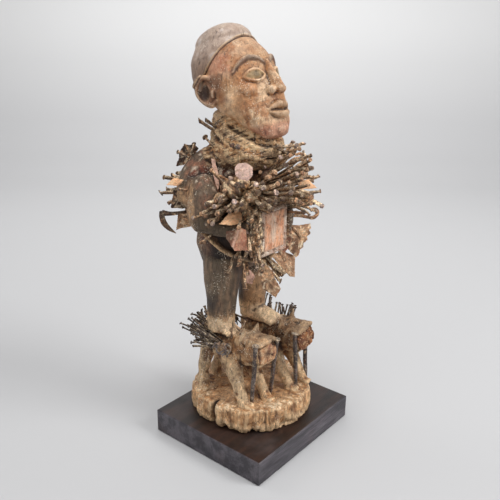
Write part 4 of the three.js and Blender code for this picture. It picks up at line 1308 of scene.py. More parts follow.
def crossesClear(feet, tips):
    right, up, ahead = cameraAxes()
    eye = sightLine(middlePixel, middlePixel)[0]
    for share in np.linspace(0.3, 1, 12):
        p = feet + (tips - feet) * share - eye
        column = middlePixel + focal * (p @ right) / (p @ ahead)
        row = middlePixel - focal * (p @ up) / (p @ ahead)
        for left, top, far, low in keptClear:
            yield (column > left) & (column < far) & (row > top) & (row < low)


# Where a camera ray crosses the upright plane at this X
def atAcross(column, row, x):
    eye, way = sightLine(column, row)
    return eye + way * (x - eye[0]) / way[0]


# Where a camera ray first meets the wood, or its nearest place to the core
def onWood(column, row, aim=ballCore):
    eye, way = sightLine(column, row)
    place, _, _, _ = woodTree.ray_cast(Vector(eye), Vector(way))
    return eye + way * ((aim - eye) @ way) if place is None else np.array(place)


# The rest of the ball: headings at random, none nearer to another than the spread
def restOfBall(rng, azimuths, elevations, spread, tries=6000):
    found = []
    for azimuth, elevation in zip(rng.uniform(*azimuths, tries), rng.uniform(*elevations, tries)):
        direction = heading(azimuth, elevation)
        if all(direction @ other < np.cos(np.radians(spread)) for other in taken):
            taken.append(direction)
            found.append(direction)
    return np.array(found)


fills = [
    # azimuths, elevations, spread, reaches, how far the aim strays, thickness
    ("nails-left-front", (4, 98), (-14, 48), 9.6, (124, 150), 14, 1.0),
    ("nails-facing", (-74, 4), (-22, 44), 8, (88, 112), 44, 1.05),
    ("nails-below", (-70, 96), (-72, -16), 8.5, (126, 156), 20, 0.95),
    ("nails-back", (112, 248), (-22, 34), 15, (118, 136), 16, 1.0),
]


def driveBall():
    rng = np.random.default_rng(5)
    tips = np.array([onBall(*row[:3]) for row in seenNails] + [onBall(*row[:3], True) for row in seenBehind])
    heads = np.array([row[3] for row in seenNails + seenBehind])
    taken.extend(unit(tips - ballCore))
    aims = ballCore + rng.normal(0, 12, (len(tips), 3)) * irons["stray"]
    for n, row in enumerate(seenNails):
        if len(row) > 4:
            root = onWood(*row[4:])
            aims[n] = root + unit(root - tips[n]) * 3
    groups = [("nails-seen", tips, aims, heads, 1.05)]
    beside = [[atAcross(*row[:2], -64 - 6 * (k % 3)), onWood(*row[2:])] for k, row in enumerate(besideBox)]
    tips, roots = np.array(beside).transpose(1, 0, 2)
    addIron("nails-beside-box", *forgedNails(roots - (tips - roots) * 0.2, tips, irons["nailRadius"] * 0.9,
                                             rng.uniform(3.6, 4.8, len(tips)), 60, 1.0))
    for name, azimuths, elevations, spread, reach, stray, thick in fills:
        ways = restOfBall(rng, azimuths, elevations, spread)
        tips = ballCore + ways * rng.uniform(*reach, len(ways))[:, None]
        aims = ballCore + rng.normal(0, stray, (len(tips), 3)) * irons["stray"]
        groups.append((name, tips, aims, rng.uniform(3.2, 4.6, len(tips)), thick))
    for seed, (name, tips, aims, heads, thick) in enumerate(groups):
        roots = woodUnder(tips, aims)
        feet = roots - unit(tips - roots) * irons["driven"]
        keep = np.linalg.norm(tips - roots, axis=1) > irons["shortest"]
        keep &= ~np.any(list(crossesBox(feet, tips)), axis=0)
        if name != "nails-seen":
            # the shoulders and upper arms stay bare, apart from what the photograph shows there
            aside, above = irons["bareArm"]
            onArm = (abs(roots[:, 0]) > aside) & (roots[:, 2] > above)
            keep &= ~onArm & ~np.any(list(crossesClear(feet, tips)), axis=0)
        addIron(name, *forgedNails(feet[keep], tips[keep], irons["nailRadius"] * thick, heads[keep], seed, 1.0))
        print(name, keep.sum(), "nails")


driveFans()
driveSpikes()
driveBall()


# Plates and blades. An outline of [across, out] corners in the plate's own plane, drawn from its root,
# is filled from its middle: a point at share K on the way out to the rim lies at middle + (rim - middle) * K,
# and the thickness thins by 1 - 0.6 K^4 towards the hammered edge.
def plateShell(outline, thick=2.4, curl=0, seed=0, around=72, wobble=0.4, dents=0.8, fold=0):
    loop = np.vstack([outline, outline[:1]])
    walk = np.concatenate([[0], np.cumsum(np.linalg.norm(np.diff(loop, axis=0), axis=1))])
    turn = np.sort(np.concatenate([np.linspace(0, walk[-1], around, endpoint=False) + 0.01, walk[:-1]]))
    rim = np.column_stack([np.interp(turn, walk, loop[:, k]) for k in (0, 1)])
    rim += wobble * np.random.default_rng(seed).normal(0, 1, rim.shape)
    middle = rim.mean(0)
    shares = np.array([0.22, 0.45, 0.66, 0.84, 0.95, 1.0])
    side = np.array([1, 1, 1, 1, 1, 0.5])
    shares, side = np.append(shares, shares[::-1]), np.append(side, -side[::-1])
    across, out = (middle + (rim[None] - middle) * shares[:, None, None]).reshape(-1, 2).T
    high = np.repeat(thick / 2 * (1 - 0.6 * shares**4) * side, len(turn))
    ends = [[middle[0], way * thick / 2, middle[1]] for way in (1, -1)]
    points = np.vstack([ends[:1], np.column_stack([across, high, out]), ends[1:]])
    wide = np.ptp(outline[:, 0]) / 2
    aside = points[:, 0] - middle[0]
    points[:, 1] += curl * (aside / wide) ** 2
    points[:, 1] += fold * (1 - np.abs(aside + 0.3 * (points[:, 2] - middle[1])) / wide)
    points[:, 1] += 2 * dents * (roughNoise(points * (1, 0, 1) + 40 * seed, 11, seed) - 0.5)
    quads, tris = tubeFaces(len(shares), len(turn))
    after = np.roll(outline, -1, 0)
    if (outline[:, 0] * after[:, 1] - after[:, 0] * outline[:, 1]).sum() > 0:  # drawn the other way round
        quads, tris = quads[:, ::-1], tris[:, ::-1]
    return points, quads, tris


# Rust, earth and cream crust on a plate or bar
def ironTints(p, tone, seed, crust=0.5):
    tints, coat = coatsOn(p, *rust[tone])
    coat(*rust["dark"], ramp(roughNoise(p, 12, seed), 0.48, 0.66) * min(0.6, crust))
    coat(*rust["earth"], ramp(roughNoise(p, 9, seed + 3), 0.5, 0.62) * crust)
    coat(*rust["cream"], ramp(roughNoise(p, 5, seed + 5), 0.58, 0.7) * crust)
    return tints


# Plates: node, its heading and roll, corners by column and row, colour, crust, curl (or less than 0 for a
# fold), and for a plate that the picture shows broad, the heading that its face looks along
plates = [
    ("nape_plate", (-146, 46, 70), [(184.3, 143.6), (189, 145), (194.3, 144), (199.3, 148), (192.9, 158.6),
     (187.1, 164.3), (176.4, 165.7), (179.3, 157.1), (179.5, 152)], "dark", 0.8, 2, None),
    ("shoulder_plate", (-132, 26, 20), [(166.4, 185), (177.9, 186), (184, 180), (174.3, 177.9), (170, 181)],
     "tan", 0.4, 0, (-46, 10)),
    ("back_plate", (-132, 4, 80), [(174.3, 186.4), (190, 187), (190, 208), (178, 207.6), (170.7, 207.1)],
     "dark", 0.5, 3, None),
    ("hip_plate", (-130, -16, 75), [(177.9, 213.6), (190, 213.6), (191, 226), (181.4, 227.9), (176.4, 230)],
     "brown", 0.6, 1, None),
    ("leaf_blade", (-60, 46, 85), [(211.8, 158.6), (214.3, 159.3), (217.9, 171.4), (219.3, 185.7), (218, 190),
     (214.6, 181), (212.4, 168.6)], "pink", 0.25, 1, (-70, 8)),
    ("pointed_plate", (44, 17, 20), [(298, 181), (307.9, 179.3), (317.1, 187.9), (298, 189.8)],
     "tan", 0.5, 0, (-40, 20)),
    ("tan_plate", (-66, -2, 30), [(219.6, 224), (228.6, 213.4), (235, 212.2), (241.6, 211.8), (242.3, 223),
     (231.4, 225.4)], "tan", 0.25, 0, (-22, 54)),
    ("rolled_sheet", (-50, -26, 60), [(226.2, 231.4), (234.3, 230), (240, 226.6), (246, 230), (247.4, 250.6),
     (234.3, 250), (230, 243), (226, 238.6)], "sheet", 0.3, -13, (-48, 12)),
    ("saw_plate", (54, -20, 75), [(289, 224), (299, 225.4), (311, 223.4), (311.2, 228), (309.4, 230), (310.8, 233.4),
     (307, 236.4), (307.4, 240), (303.4, 243), (303.6, 247), (300, 250), (299, 255.6), (296.6, 257.4), (288, 249),
     (288.6, 235.7)], "brown", 0.9, 3, None),
    ("corner_blade", (55, -42, 60), [(270, 254.3), (282.9, 251), (295.2, 255.7), (294.5, 276.8), (290, 276.4),
     (281.4, 267.1)], "brown", 0.4, 1, None),
    ("lower_blade", (4, -70, 20), [(257.5, 262.9), (268.6, 266.8), (281, 288.6), (275.7, 297.5), (262.9, 288.6),
     (258.4, 274.3)], "brown", 0.7, 1, (-50, 4)),
    ("small_plate", (-46, -65, 0), [(242.7, 272.9), (246, 270.6), (250, 269.8), (254.5, 275.7), (252.1, 284),
     (247.1, 283.2), (243.4, 278.6)], "pink", 0.1, 2, (-26, 24)),
]


# Places in the picture laid on the plane through this middle, in the plane's own millimetres
def onPlane(pixels, middle, axes):
    found = []
    for column, row in pixels:
        eye, way = sightLine(column, row)
        place = eye + way * ((middle - eye) @ axes[1]) / (way @ axes[1]) - middle
        found.append((place @ axes[0], place @ axes[2]))
    return np.array(found)


# A line of such places, in carving millimetres
def lineOnPlane(pixels, middle, axes):
    return [np.array([x, 0, z]) @ axes + middle for x, z in onPlane(pixels, middle, axes)]


# A tang from the wood to a plate
def tangShell(foot, top, shares, half, axes, **shape):
    return limb([[*(foot + (top - foot) * k), *half] for k in shares], around=10, caps=(1, 1), side=axes[0], **shape)


wornShare = {"brown": 0.5, "dark": 0.8}  # how rusted a plate of this colour looks, and else 0.2


def drivePlates():
    for seed, (name, aim, pixels, tone, crust, curl, face) in enumerate(plates):
        direction = heading(*aim[:2])
        away = (nodePoints(name) - core) @ direction
        middle = core + direction * (away.min() * 0.35 + away.max() * 0.65)
        axes = ironAxes(direction, aim[2], face)
        if face is not None:  # a plate seen broad lies just off the wood
            eye, way = sightLine(*np.mean(pixels, axis=0))
            middle = eye + way * ((middle - eye) @ way)
            behind = [(place - onWood(*pixel, core)) @ sightLine(*pixel)[1]
                      for pixel, place in zip(pixels, lineOnPlane(pixels, middle, axes))]
            middle = middle - way * max(0, max(behind) + irons["offWood"].get(name, irons["usualOffWood"]))
        outline = onPlane(pixels, middle, axes)
        p, *faces = plateShell(outline, curl=max(curl, 0), fold=max(-curl, 0), seed=seed)
        # the tang runs from the plate's middle down into the wood
        centre = np.array([outline[:, 0].mean(), 0, outline[:, 1].mean()]) @ axes + middle
        root = core + direction * away.min()
        tang = tangShell(root, centre, (0, 0.3, 0.6, 0.94), (3.2, 2.6), axes, along=12, boxy=0.7)
        tints = ironTints(p + 30 * seed, tone, seed, crust)
        # painted shade on the far side of the fold and a painted highlight on its ridge
        if curl < 0:  # the folded sheet: dark on the far side of its ridge, pale on the ridge
            across = p[:, 0] - outline[:, 0].mean() + 0.3 * (p[:, 2] - outline[:, 1].mean())
            lay(tints, (88, 58, 46), ramp(across, -2, -5) * 0.75)
            lay(tints, (240, 200, 176), ramp(abs(across), 3, 1) * 0.8)
        worn = np.append(np.full(len(p), wornShare.get(tone, 0.2)), np.ones(len(tang[0])))
        tints = np.vstack([tints, ironTints(tang[0], "brown", seed, 0.8)])
        addForged(name, together([(p @ axes + middle, *faces), tang]), tints, worn)


# Rods and hooks: node, heading and roll, face, colour, crust, and lines of column, row, half width and
# half thickness
rods = [
    ("chest_hook", (36, 44, -90), (-52, 20), "brown", 0.9,
     [[(268, 173, 3.2, 3.2), (284, 166, 3.2, 3.2), (297, 158.5, 3.4, 3.4), (303, 159.5, 3.4, 3.4),
       (305.2, 156.8, 3.2, 3), (302, 153.6, 2.8, 2.6), (295.5, 154.6, 2.4, 2.2)]]),
    ("side_hook", (62, 6, 90), (-40, 15), "brown", 0.7,
     [[(284, 216, 3, 3), (297, 215.4, 3.2, 3.2), (306, 216.6, 3.4, 3.4), (313, 217.6, 3.6, 3.6),
       (317.4, 213.6, 3.6, 3.6), (316, 209, 3.2, 3.2), (310.6, 209.2, 2.6, 2.6)]]),
    ("sickle_hook", (-130, -4, 90), (-42, 14), "dark", 0.1,
     [[(188, 211.6, 3.2, 2.6), (178, 213, 3.4, 2.4), (170, 213.6, 4, 2.2), (162.4, 213, 6, 2)],
      [(160.6, 211.4, 2.6, 1.8), (161.8, 216, 5.2, 1.8), (163.8, 222.4, 5.6, 1.7), (168.6, 228, 4.4, 1.6),
       (175.6, 233, 1, 1.2)]]),
]


def driveRods():
    for n, (name, aim, face, tone, crust, lines) in enumerate(rods):
        direction = heading(*aim[:2])
        away = (nodePoints(name) - core) @ direction
        middle = core + direction * (away.min() * 0.3 + away.max() * 0.7)
        axes = ironAxes(direction, aim[2], face)
        shells = []
        for line in lines:
            places = lineOnPlane([row[:2] for row in line], middle, axes)
            stations = [[*place, deep, wide] for place, (_, _, wide, deep) in zip(places, line)]
            if not shells:  # the first line starts in the wood
                stations.insert(0, [*(core + direction * away.min()), *stations[0][3:]])
            shells.append(limb(stations, around=14, along=40, caps=(1, 1), side=axes[1], boxy=0.75))
        p, *faces = together(shells)
        addForged(name, (p + 3 * crust * jitter(p, 5, 40), *faces), ironTints(p, tone, 50 + n, crust))


# Irons that only the scene has

oddIrons = {
    "face": (-56, 24),
    "broadHead": [(235, 168), (238.6, 163.4), (247, 163), (253, 168), (252.6, 176), (247.4, 181.4), (240, 180),
                  (235.4, 175)],
    "besideBox": [(277, 226.5), (284, 223.6), (291, 225.4), (292.4, 236), (289, 247.4), (284.6, 252.6),
                  (278.6, 249.4), (276.4, 238)],
    # nails in the collar: head's column, row, root's column, row, depth of the head's ray off the root's
    # own, head radius
    "collar": [
        (198.4, 120.4, 213, 129.5, 0, 4.6), (205, 119.6, 216, 127, -4, 3.9), (204.6, 136.6, 213, 146, 14, 5.4),
        (232, 145, 233.5, 147, -16, 5.6), (238, 146.4, 239, 148, -11, 4.6), (288.6, 153.4, 272, 146, 4, 4.4),
        (177.2, 151.6, 186, 156, 6, 4.8), (194.3, 142.8, 192, 152, 4, 4.2), (178, 189, 186, 190.4, 0, 3.4),
        (212.6, 165.6, 213, 170, -7, 3.6), (228, 172.4, 231, 176, -10, 3.8), (262, 172, 259, 176, -14, 4.4),
        (245.5, 319, 240, 334.5, 0, 4), (231.4, 328, 231.8, 335.5, 0, 2.6),
    ],
}


# A flat head or plate that faces the camera, on a tang that runs to the core
def addBroad(name, middle, pixels, tone, crust, seed, worn):
    axes = ironAxes(np.array([0, 0, 1.0]), 0, oddIrons["face"])
    p, *faces = plateShell(onPlane(pixels, middle, axes), thick=3, curl=2.5, seed=seed, wobble=0.3)
    foot = woodUnder([middle], [ballCore])[0] - (middle - ballCore) * 0.1
    tang = tangShell(foot, middle, (0, 0.35, 0.7, 0.97), (3.4, 3.4), axes, along=10)
    tints = ironTints(p + 11, tone, seed, crust)
    if tone == "pink":
        lay(tints, rust["head"], np.full(len(tints), 0.5))
    tints = np.vstack([tints, ironTints(tang[0], "brown", seed + 1, 0.8)])
    addIron(name, together([(p @ axes + middle, *faces), tang]), tints, worn=worn)


def driveOddIrons():
    addBroad("broad-headed-nail", onBall(243.8, 172, 104), oddIrons["broadHead"], "pink", 0.3, 31, 0.3)
    addBroad("plate-beside-the-box", atAcross(284, 238, 56), oddIrons["besideBox"], "sheet", 0.7, 33, 0.7)
    feet, tips = [], []
    for column, row, rootColumn, rootRow, nearer, _ in oddIrons["collar"]:
        root = onWood(rootColumn, rootRow, ballCore + (0, 0, 90))
        eye, way = sightLine(column, row)
        tip = eye + way * ((root - eye) @ way + nearer)
        feet.append(root - (tip - root) * 0.4)
        tips.append(tip)
    heads = [row[-1] for row in oddIrons["collar"]]
    addIron("collar-nails", *forgedNails(np.array(feet), np.array(tips), 2.6, heads, 41, 0.4, ("dark", "brown"), 0.01,
                                         ("dark", "grey", "grey")))


# A heap of crust in the middle of the chest's nails: eggs on the wood, roughened along their own radii
crustHeap = {
    # column and row in the picture, and radius
    "lumps": [(231, 189, 15), (241, 183, 12), (249, 196, 12), (221, 197, 9), (240, 204, 12), (256, 188, 10)],
    "nearer": 20,
    "rough": 0.75,
}


def addCrustHeap():
    shells = []
    for column, row, radius in crustHeap["lumps"]:
        middle = onWood(column, row) - sightLine(column, row)[1] * crustHeap["nearer"]
        p, *faces = egg((0, 0, 0), (radius, radius * 1.5, radius))
        waves = roughNoise(p + middle, 9, 90) + 0.4 * roughNoise(p + middle, 3, 91) - 0.7
        shells.append((p * (1 + crustHeap["rough"] * waves)[:, None] + middle, *faces))
    shell = together(shells)
    tints, coat = coatsOn(shell[0], 196, 153, 112)
    coat(246, 216, 176, ramp(roughNoise(shell[0], 6, 92), 0.48, 0.58) * 0.9)
    coat(84, 56, 40, ramp(roughNoise(shell[0], 7, 93), 0.45, 0.36) * 0.9)
    return addPiece("chest-crust-heap", shell, tints, "carved_wood", extra=0)


drivePlates()
driveRods()
driveOddIrons()
crustPiece = addCrustHeap()


# Nails along the dogs' backs, and on the near dog's flank short bent nails and a wire loop beaten over
dogIrons = {
    "radius": 1.8,
    "headRadius": 3.1,
    "groups": [
        # root, spread of the roots, azimuths, elevations, lengths, how many
        ((-56, 56, 158), (14, 22, 7), (-176, -128), (2, 46), (36, 60), 36),
        ((-66, 36, 154), (10, 18, 6), (-166, -120), (0, 40), (34, 58), 26),
        ((-40, 84, 160), (12, 8, 5), (-176, -140), (34, 66), (30, 48), 10),
        ((76, 20, 166), (14, 34, 4), (96, 176), (46, 78), (26, 42), 22),
        ((88, -14, 166), (6, 16, 4), (70, 130), (48, 76), (24, 38), 10),
        ((36, 80, 160), (12, 10, 4), (190, 240), (44, 74), (28, 44), 9),
    ],
    "farthest": 112,  # how far back a head may lie
    "wire": (1.6, 1.6),
    "bentNails": 14,
    "loop": [(219.6, 342), (216.6, 347), (217, 351.5), (220.5, 354), (226, 354), (222, 344.6), (226.5, 344.6),
             (230.2, 346.4), (230.5, 350), (227.8, 355), (226.8, 357)],
}


def driveDogNails():
    rng = np.random.default_rng(9)
    d = dogIrons
    feet, tips = [], []
    for root, spread, azimuths, elevations, reach, count in d["groups"]:
        start = np.array(root) + rng.uniform(-1, 1, (count, 3)) * spread
        way = heading(rng.uniform(*azimuths, count), rng.uniform(*elevations, count))
        tip = start + way * rng.uniform(*reach, count)[:, None]
        tip[:, 1] = np.minimum(tip[:, 1], d["farthest"] + 5 * rng.random(count))
        feet.append(start - way * 10)
        tips.append(tip)
    addIron("dog-back-nails", *forgedNails(np.vstack(feet), np.vstack(tips), d["radius"], d["headRadius"], 77, 0.35,
                                           ("dark", "grey"), caps=("dark", "grey", "grey")))

    def wire(places, **shape):
        return limb([[*place, *d["wire"]] for place in places], caps=(1, 1), around=8, **shape)

    wires = []
    for k in range(d["bentNails"]):
        foot = np.array([-62 - 3 * (k % 4) + rng.uniform(-5, 5), 50 - 4 * k + rng.uniform(-6, 6), 158 - (k % 5) * 4])
        away = heading(rng.uniform(-150, -60), rng.uniform(-10, 50))
        turn = heading(rng.uniform(-180, -20), rng.uniform(-60, 40))
        bends = ((-8, 0), (4, 0), (11, 0), (15, 6), (13, 15))
        wires.append(wire([foot + away * a + turn * b for a, b in bends], along=20, side=(0.3, 0.2, 0.9)))
    axes = ironAxes(np.array([0, 0, 1.0]), 0, (-56, 20))
    middle = onWood(224, 350, np.array([-66, 24, 142])) - sightLine(224, 350)[1] * 9
    wires.append(wire(lineOnPlane(d["loop"], middle, axes), along=70, side=axes[1]))
    shell = together(wires)
    addIron("dog-flank-wires", shell, ironTints(shell[0], "grey", 70, 0.4), worn=0.25)


driveDogNails()

# The belly box, its panel and what fills the dogs' mouths

box = {
    "centre": (-0.8, 0, 388),
    "front": -46,
    "size": (77, 42, 90),
    "corner": 5,
    "rim": 8.5,
    "panelSink": 0.8,
    "panelThick": 3,
    "panelRise": 1.5,  # the panel's middle above the box's
}


# A block with round edges: each face is a grid, and a point P of it moves to Q + corner * (P - Q) / |P - Q|,
# where Q is the nearest place of the block shrunk by the corner radius.
def blockShell(size, corner, step):
    half = np.array(size) / 2
    shells = []
    for axis in range(3):
        u, v = (axis + 1) % 3, (axis + 2) % 3
        nu, nv = (max(2, int(np.ceil(2 * half[k] / step))) for k in (u, v))
        gu, gv = np.meshgrid(np.linspace(-half[u], half[u], nu), np.linspace(-half[v], half[v], nv), indexing="ij")
        index = np.arange(nu * nv).reshape(nu, nv)
        quads = np.stack([index[:-1, :-1], index[1:, :-1], index[1:, 1:], index[:-1, 1:]], -1).reshape(-1, 4)
        for way in (-1, 1):
            points = np.empty((nu * nv, 3))
            points[:, axis], points[:, u], points[:, v] = way * half[axis], gu.ravel(), gv.ravel()
            shells.append((points, quads if way > 0 else quads[:, ::-1], np.empty((0, 3), int)))
    points, quads, tris = together(shells)
    inner = np.clip(points, corner - half, half - corner)
    out = points - inner
    points = inner + out * corner / np.maximum(np.linalg.norm(out, axis=1, keepdims=True), 1e-9)
    # the faces' shared edges become one, so that the block is closed
    _, first, back = np.unique(np.round(points, 3), axis=0, return_index=True, return_inverse=True)
    return points[first], back.reshape(-1)[quads], tris


def addFrame(middle):
    b = box
    p, *faces = blockShell(b["size"], b["corner"], 1.8)
    half = np.array(b["size"]) / 2
    inset = np.minimum(half[0] - abs(p[:, 0]), half[2] - abs(p[:, 2] - b["panelRise"])) - b["rim"] + 1
    front = p[:, 1] < -half[1] + 0.5
    sunk = ramp(inset + 3.2 * (roughNoise(p, 7, 201) - 0.5), -0.9, 0.4) * front
    lumps = (roughNoise(p, 10, 202) - 0.5) * 2.6 + (roughNoise(p, 3.5, 203) - 0.5) * 1.4
    bulge = p / np.abs(p).max(1, keepdims=True) * lumps[:, None] * 0.5 * ~front[:, None]
    p[:, 1] += sunk * (b["panelSink"] + b["panelThick"] + 0.2) - front * (1 - sunk) * (0.6 + lumps * 0.7)
    p += bulge
    tints, coat = coatsOn(p, 220, 192, 170)
    coat(250, 236, 218, ramp(roughNoise(p, 9, 204), 0.42, 0.54) * front)
    coat(112, 78, 60, ramp(roughNoise(p, 6, 205), 0.56, 0.68) * 0.8)
    coat(176, 106, 72, ramp(inset, 1, -3) * ramp(roughNoise(p, 8, 207), 0.5, 0.62) * 0.6 * front)
    coat(216, 202, 184, ramp(softNoise(p, 2.6, 206), 0.8, 0.92) * 0.8)
    # painted shade: the box's sides darker towards the back
    coat(84, 60, 46, ramp(p[:, 1], -16, -6) * 0.85)
    return addPiece("belly-box-frame", (p + middle, *faces), tints, "box_frame", "belly_box")


def addPanel(middle):
    b = box
    size = (b["size"][0] - 2 * b["rim"], b["panelThick"], b["size"][2] - 2 * b["rim"])
    p, *faces = blockShell(size, 1.1, 1.3)
    front = ramp(p[:, 1], -0.2, -1.2)
    aside = abs(p[:, 0] + 3 + 3 * (softNoise(p, 14, 210) - 0.5))
    # a pale streaky band down the middle, partly scuffed paint and partly a painted highlight
    worn = ramp(aside, 11, 3) * ramp(roughNoise(p, (5, 5, 18), 211), 0.4, 0.6)
    flake = ramp(roughNoise(p, (6, 6, 13), 212), 0.55, 0.6)
    p[:, 1] -= front * (0.5 * (roughNoise(p, 9, 213) - 0.5) - 0.35 * flake)
    tints, coat = coatsOn(p, 244, 180, 138)
    coat(194, 122, 84, ramp(roughNoise(p, 10, 214), 0.52, 0.66) * 0.6)
    coat(252, 226, 200, worn * 0.9)
    coat(230, 198, 172, flake * 0.5)
    # the frame's crust creeps in over its edges
    edge = np.minimum(size[0] / 2 - abs(p[:, 0]), size[2] / 2 - abs(p[:, 2])) + 5 * (roughNoise(p, 6, 216) - 0.5)
    coat(196, 162, 138, ramp(edge, 4, 0.5) * 0.9)
    coat(120, 70, 48, ramp(softNoise(p, 3.2, 215), 0.78, 0.9) * 0.7)
    place = middle + (0, -b["size"][1] / 2 + b["panelSink"] + b["panelThick"] / 2, b["panelRise"])
    return addPiece("belly-panel-worn", (p + place, *faces), tints, "red_panel", "belly_panel")


mouthTones = [  # for each dog: the packing's own colour, then pale, reddish
    ((198, 146, 104), (234, 196, 156), (150, 96, 78)),
    ((120, 71, 40), (184, 122, 72), (96, 54, 32)),
]


def addMouths():
    made = []
    for n, (dog, (own, pale, reddish)) in enumerate(zip(dogs, mouthTones)):
        rows = [[0, muzzleFront + dogHead["mouthDepth"], 148, 22, 14, 16], [0, muzzleFront - 1, 152, 25.5, 17, 18]]
        p, *faces = limb(rows, around=80, along=26, caps=(2, 2), boxy=0.55, blunt=0.25)
        front = ramp(p[:, 1], muzzleFront + 9, muzzleFront + 1)
        lumps = (roughNoise(p, 9, 220 + n) - 0.5) * 5 + (roughNoise(p, 3.6, 222 + n) - 0.5) * 3
        pits = ramp(softNoise(p, (5, 5, 9), 224 + n), 0.62, 0.8) * 3.5
        tints, coat = coatsOn(p, *own)
        coat(*pale, ramp(roughNoise(p, 7, 226 + n), 0.5, 0.62) * 0.8)
        coat(*reddish, ramp(roughNoise(p, (6, 6, 12), 228 + n), 0.52, 0.64) * 0.9)
        coat(70, 42, 30, pits / 3 * 0.8)
        coat(220, 196, 164, ramp(softNoise(p, 2.4, 230 + n), 0.82, 0.92) * 0.7)
        p[:, 1] -= front * (lumps - pits + 0.5)
        name = f"dog-{n + 1}-mouth-packing"
        made.append(addPiece(name, besideDog(dog, (p, *faces)), tints, "mouth_resin", f"dog_{n + 1}_mouth_resin"))
    return made


boxMiddle = np.array([box["centre"][0], box["front"] + box["size"][1] / 2, box["centre"][2]])
boxFrame, bellyPanel = addFrame(boxMiddle), addPanel(boxMiddle)
mouthPieces = addMouths()
print("box, panel and mouths set")

# Finishes. Each one but the plinth's starts from the piece's own tint, and each adds fine detail in object space.


def carvedWoodLook():
    made, kind = newTintedLook("carvedWood")
    # the tint's alpha is 1 on the smooth cap, less on face, legs and arms, and -1 on the collar
    smooth = reckoned("MAXIMUM", kind)
    collar = reckoned("MAXIMUM", times(kind, -1.0))
    coarse = minus(1.0, times(smooth, 0.78))
    place = objectPlace()
    grim = times(coarse, ranged(noiseOn(place, 38, 3), 0.4, 0.62, 0.1, 0.9))
    grim = times(grim, minus(1.0, times(collar, 0.75)))
    paler = (336, 332, 326)  # over 255, so that it brightens what it multiplies
    grain = noiseOn(objectPlace((1, 1, 0.2)), 240, 5, 0.7)
    dirt = noiseOn(place, 110, 6, 0.72)
    fine = noiseOn(place, 900, 3, 0.6)
    leaning = objectPlace(turn=(0.38, 0, 0))
    fibre = noiseOn(objectPlace((0.2, 0.2, 1), leaning), 190, 4, 0.65)
    grit = noiseOn(place, 340, 2, 0.6)
    coatLook(times(ranged(grain, 0.36, 0.5, 0.55, 0), coarse), (40, 27, 20))
    coatLook(times(ranged(dirt, 0.52, 0.66, 0, 0.55), coarse), (58, 38, 26))
    coatLook(times(ranged(dirt, 0.47, 0.37, 0, 0.7), coarse), paler, "MULTIPLY")
    coatLook(times(ranged(grit, 0.34, 0.44, 0.6, 0), grim), (52, 35, 25))
    coatLook(times(ranged(grit, 0.56, 0.66, 0, 0.8), grim), paler, "MULTIPLY")
    coatLook(times(ranged(fibre, 0.38, 0.46, 0.85, 0), collar), (46, 29, 19))
    coatLook(times(ranged(fibre, 0.54, 0.62, 0, 0.85), collar), (240, 208, 162))
    patch = ranged(noiseOn(place, 26, 3), 0.5, 0.6, 0, 0.9)
    flecks = times(ranged(noiseOn(place, 420, 2, 0.5), 0.6, 0.64), patch)
    coatLook(times(flecks, minus(1.0, times(smooth, 0.5))), (240, 226, 202))
    crack = reckoned("ABSOLUTE", minus(noiseOn(objectPlace((1, 1, 0.1)), 60, 2), 0.5))
    crack = ranged(crack, 0.0015, 0.006, 1, 0)
    coatLook(times(crack, 0.6), (34, 22, 16))
    height = minus(plus(times(grain, 0.7), times(fine, 0.3)), dirt)
    height = plus(times(height, coarse), times(fibre, times(collar, 2.0)))
    height = minus(height, times(crack, 0.5))
    finishLook(minus(ranged(fine, 0.3, 0.7, 0.56, 0.86), times(smooth, 0.24)), height, 0.003)
    return made


def rustyIronLook():
    made, worn = newTintedLook("rustyIron")
    place = objectPlace()
    scale = noiseOn(place, 520, 5, 0.7)
    blotch = noiseOn(place, 140, 4, 0.6)
    crust = noiseOn(place, 230, 3, 0.6)
    coatLook(times(ranged(scale, 0.36, 0.56, 0.62, 0), worn), (40, 27, 21))
    coatLook(ranged(blotch, 0.55, 0.66, 0, 0.45), (120, 76, 50))
    coatLook(ranged(blotch, 0.44, 0.34, 0, 0.4), (222, 198, 164))
    coatLook(times(ranged(crust, 0.36, 0.46, 0.75, 0), worn), (44, 30, 24))
    coatLook(times(ranged(crust, 0.54, 0.62, 0, 0.9), worn), (350, 344, 330), "MULTIPLY")
    look["shader"].inputs["Metallic"].default_value = 0.12
    finishLook(ranged(scale, 0.3, 0.7, 0.9, 0.55), plus(scale, blotch), 0.0012)
    return made


# Specks: places near the middle of some of the cells of a cell pattern
def specks(place, scale, radius, share):
    cells = {"Vector": place, "Scale": scale}
    near = ranged(node("TexVoronoi", cells, "Distance"), radius * 0.6, radius, 1, 0)
    red = node("SeparateColor", {"Color": node("TexVoronoi", cells, "Color")}, "Red")
    return times(near, reckoned("LESS_THAN", red, share))


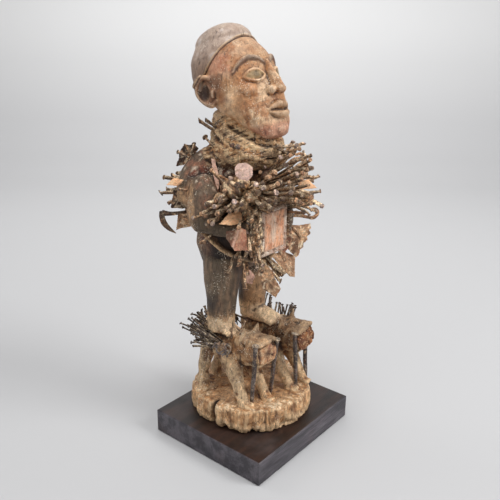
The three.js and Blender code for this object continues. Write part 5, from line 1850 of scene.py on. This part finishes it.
# Frame, panel and packing share a plain way of finishing: fine grain, dirt in the pits, pale scuffs
def wornLook(name, stretch, fineScale, dark, pale, roughness, bump):
    made, _ = newTintedLook(name)
    fine = noiseOn(objectPlace(stretch), fineScale, 5, 0.65)
    broad = noiseOn(objectPlace(), fineScale / 4, 4, 0.6)
    coatLook(ranged(fine, 0.32, 0.62, 0.5, 0), dark)
    coatLook(ranged(broad, 0.56, 0.7, 0, 0.5), pale)
    coatLook(specks(objectPlace(), 330, 0.36, 0.16), pale)
    finishLook(ranged(fine, 0.3, 0.7, *roughness), plus(fine, broad), bump)
    return made


# Dark stained wood with a satin finish: long open grain along X, scuffed a little paler
def plinthLook():
    made = newLook("plinthWood")
    pores = noiseOn(objectPlace((0.05, 1, 1)), 520, 5, 0.7)
    grain = noiseOn(objectPlace((0.18, 1, 1)), 34, 4, 0.6)
    cloud = noiseOn(objectPlace(), 14, 3, 0.6)
    # painted reflection and light: the sides lighter and greyer than the top, the top darker and redder
    top = ranged(node("SeparateXYZ", {"Vector": node("NewGeometry", {}, "Normal")}, "Z"), 0.6, 0.9)
    look["base"] = blended(ranged(grain, 0.38, 0.62), blended(top, (56, 52, 59), (26, 15, 12)),
                           blended(top, (101, 95, 102), (58, 36, 27)))
    coatLook(ranged(pores, 0.42, 0.6, 0.55, 0), (20, 14, 15))
    coatLook(ranged(cloud, 0.55, 0.75, 0, 0.3), (92, 76, 72))
    finishLook(ranged(cloud, 0.3, 0.7, 0.36, 0.56), plus(pores, times(grain, 0.6)), 0.0004)
    return made


def finish(pieces, made):
    for piece in pieces:
        piece.data.materials.clear()
        piece.data.materials.append(made)


finish([figure, crustPiece], carvedWoodLook())
finish(ironPieces, rustyIronLook())
finish([boxFrame], wornLook("crustedFrame", (1, 1, 0.5), 420, (92, 66, 52), (224, 206, 184), (0.92, 0.7), 0.002))
finish([bellyPanel], wornLook("redPaint", (1, 1, 0.22), 380, (96, 46, 30), (226, 176, 144), (0.8, 0.55), 0.0006))
finish(mouthPieces, wornLook("mouthPacking", (1, 1, 1), 360, (66, 38, 24), (214, 182, 140), (0.85, 0.6), 0.0016))
finish([nodes["display_plinth"]], plinthLook())
print("finishes laid")

corners = {"solid": solidBounds, "visual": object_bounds()}
{key: [list(corner) for corner in ends] for key, ends in corners.items()}
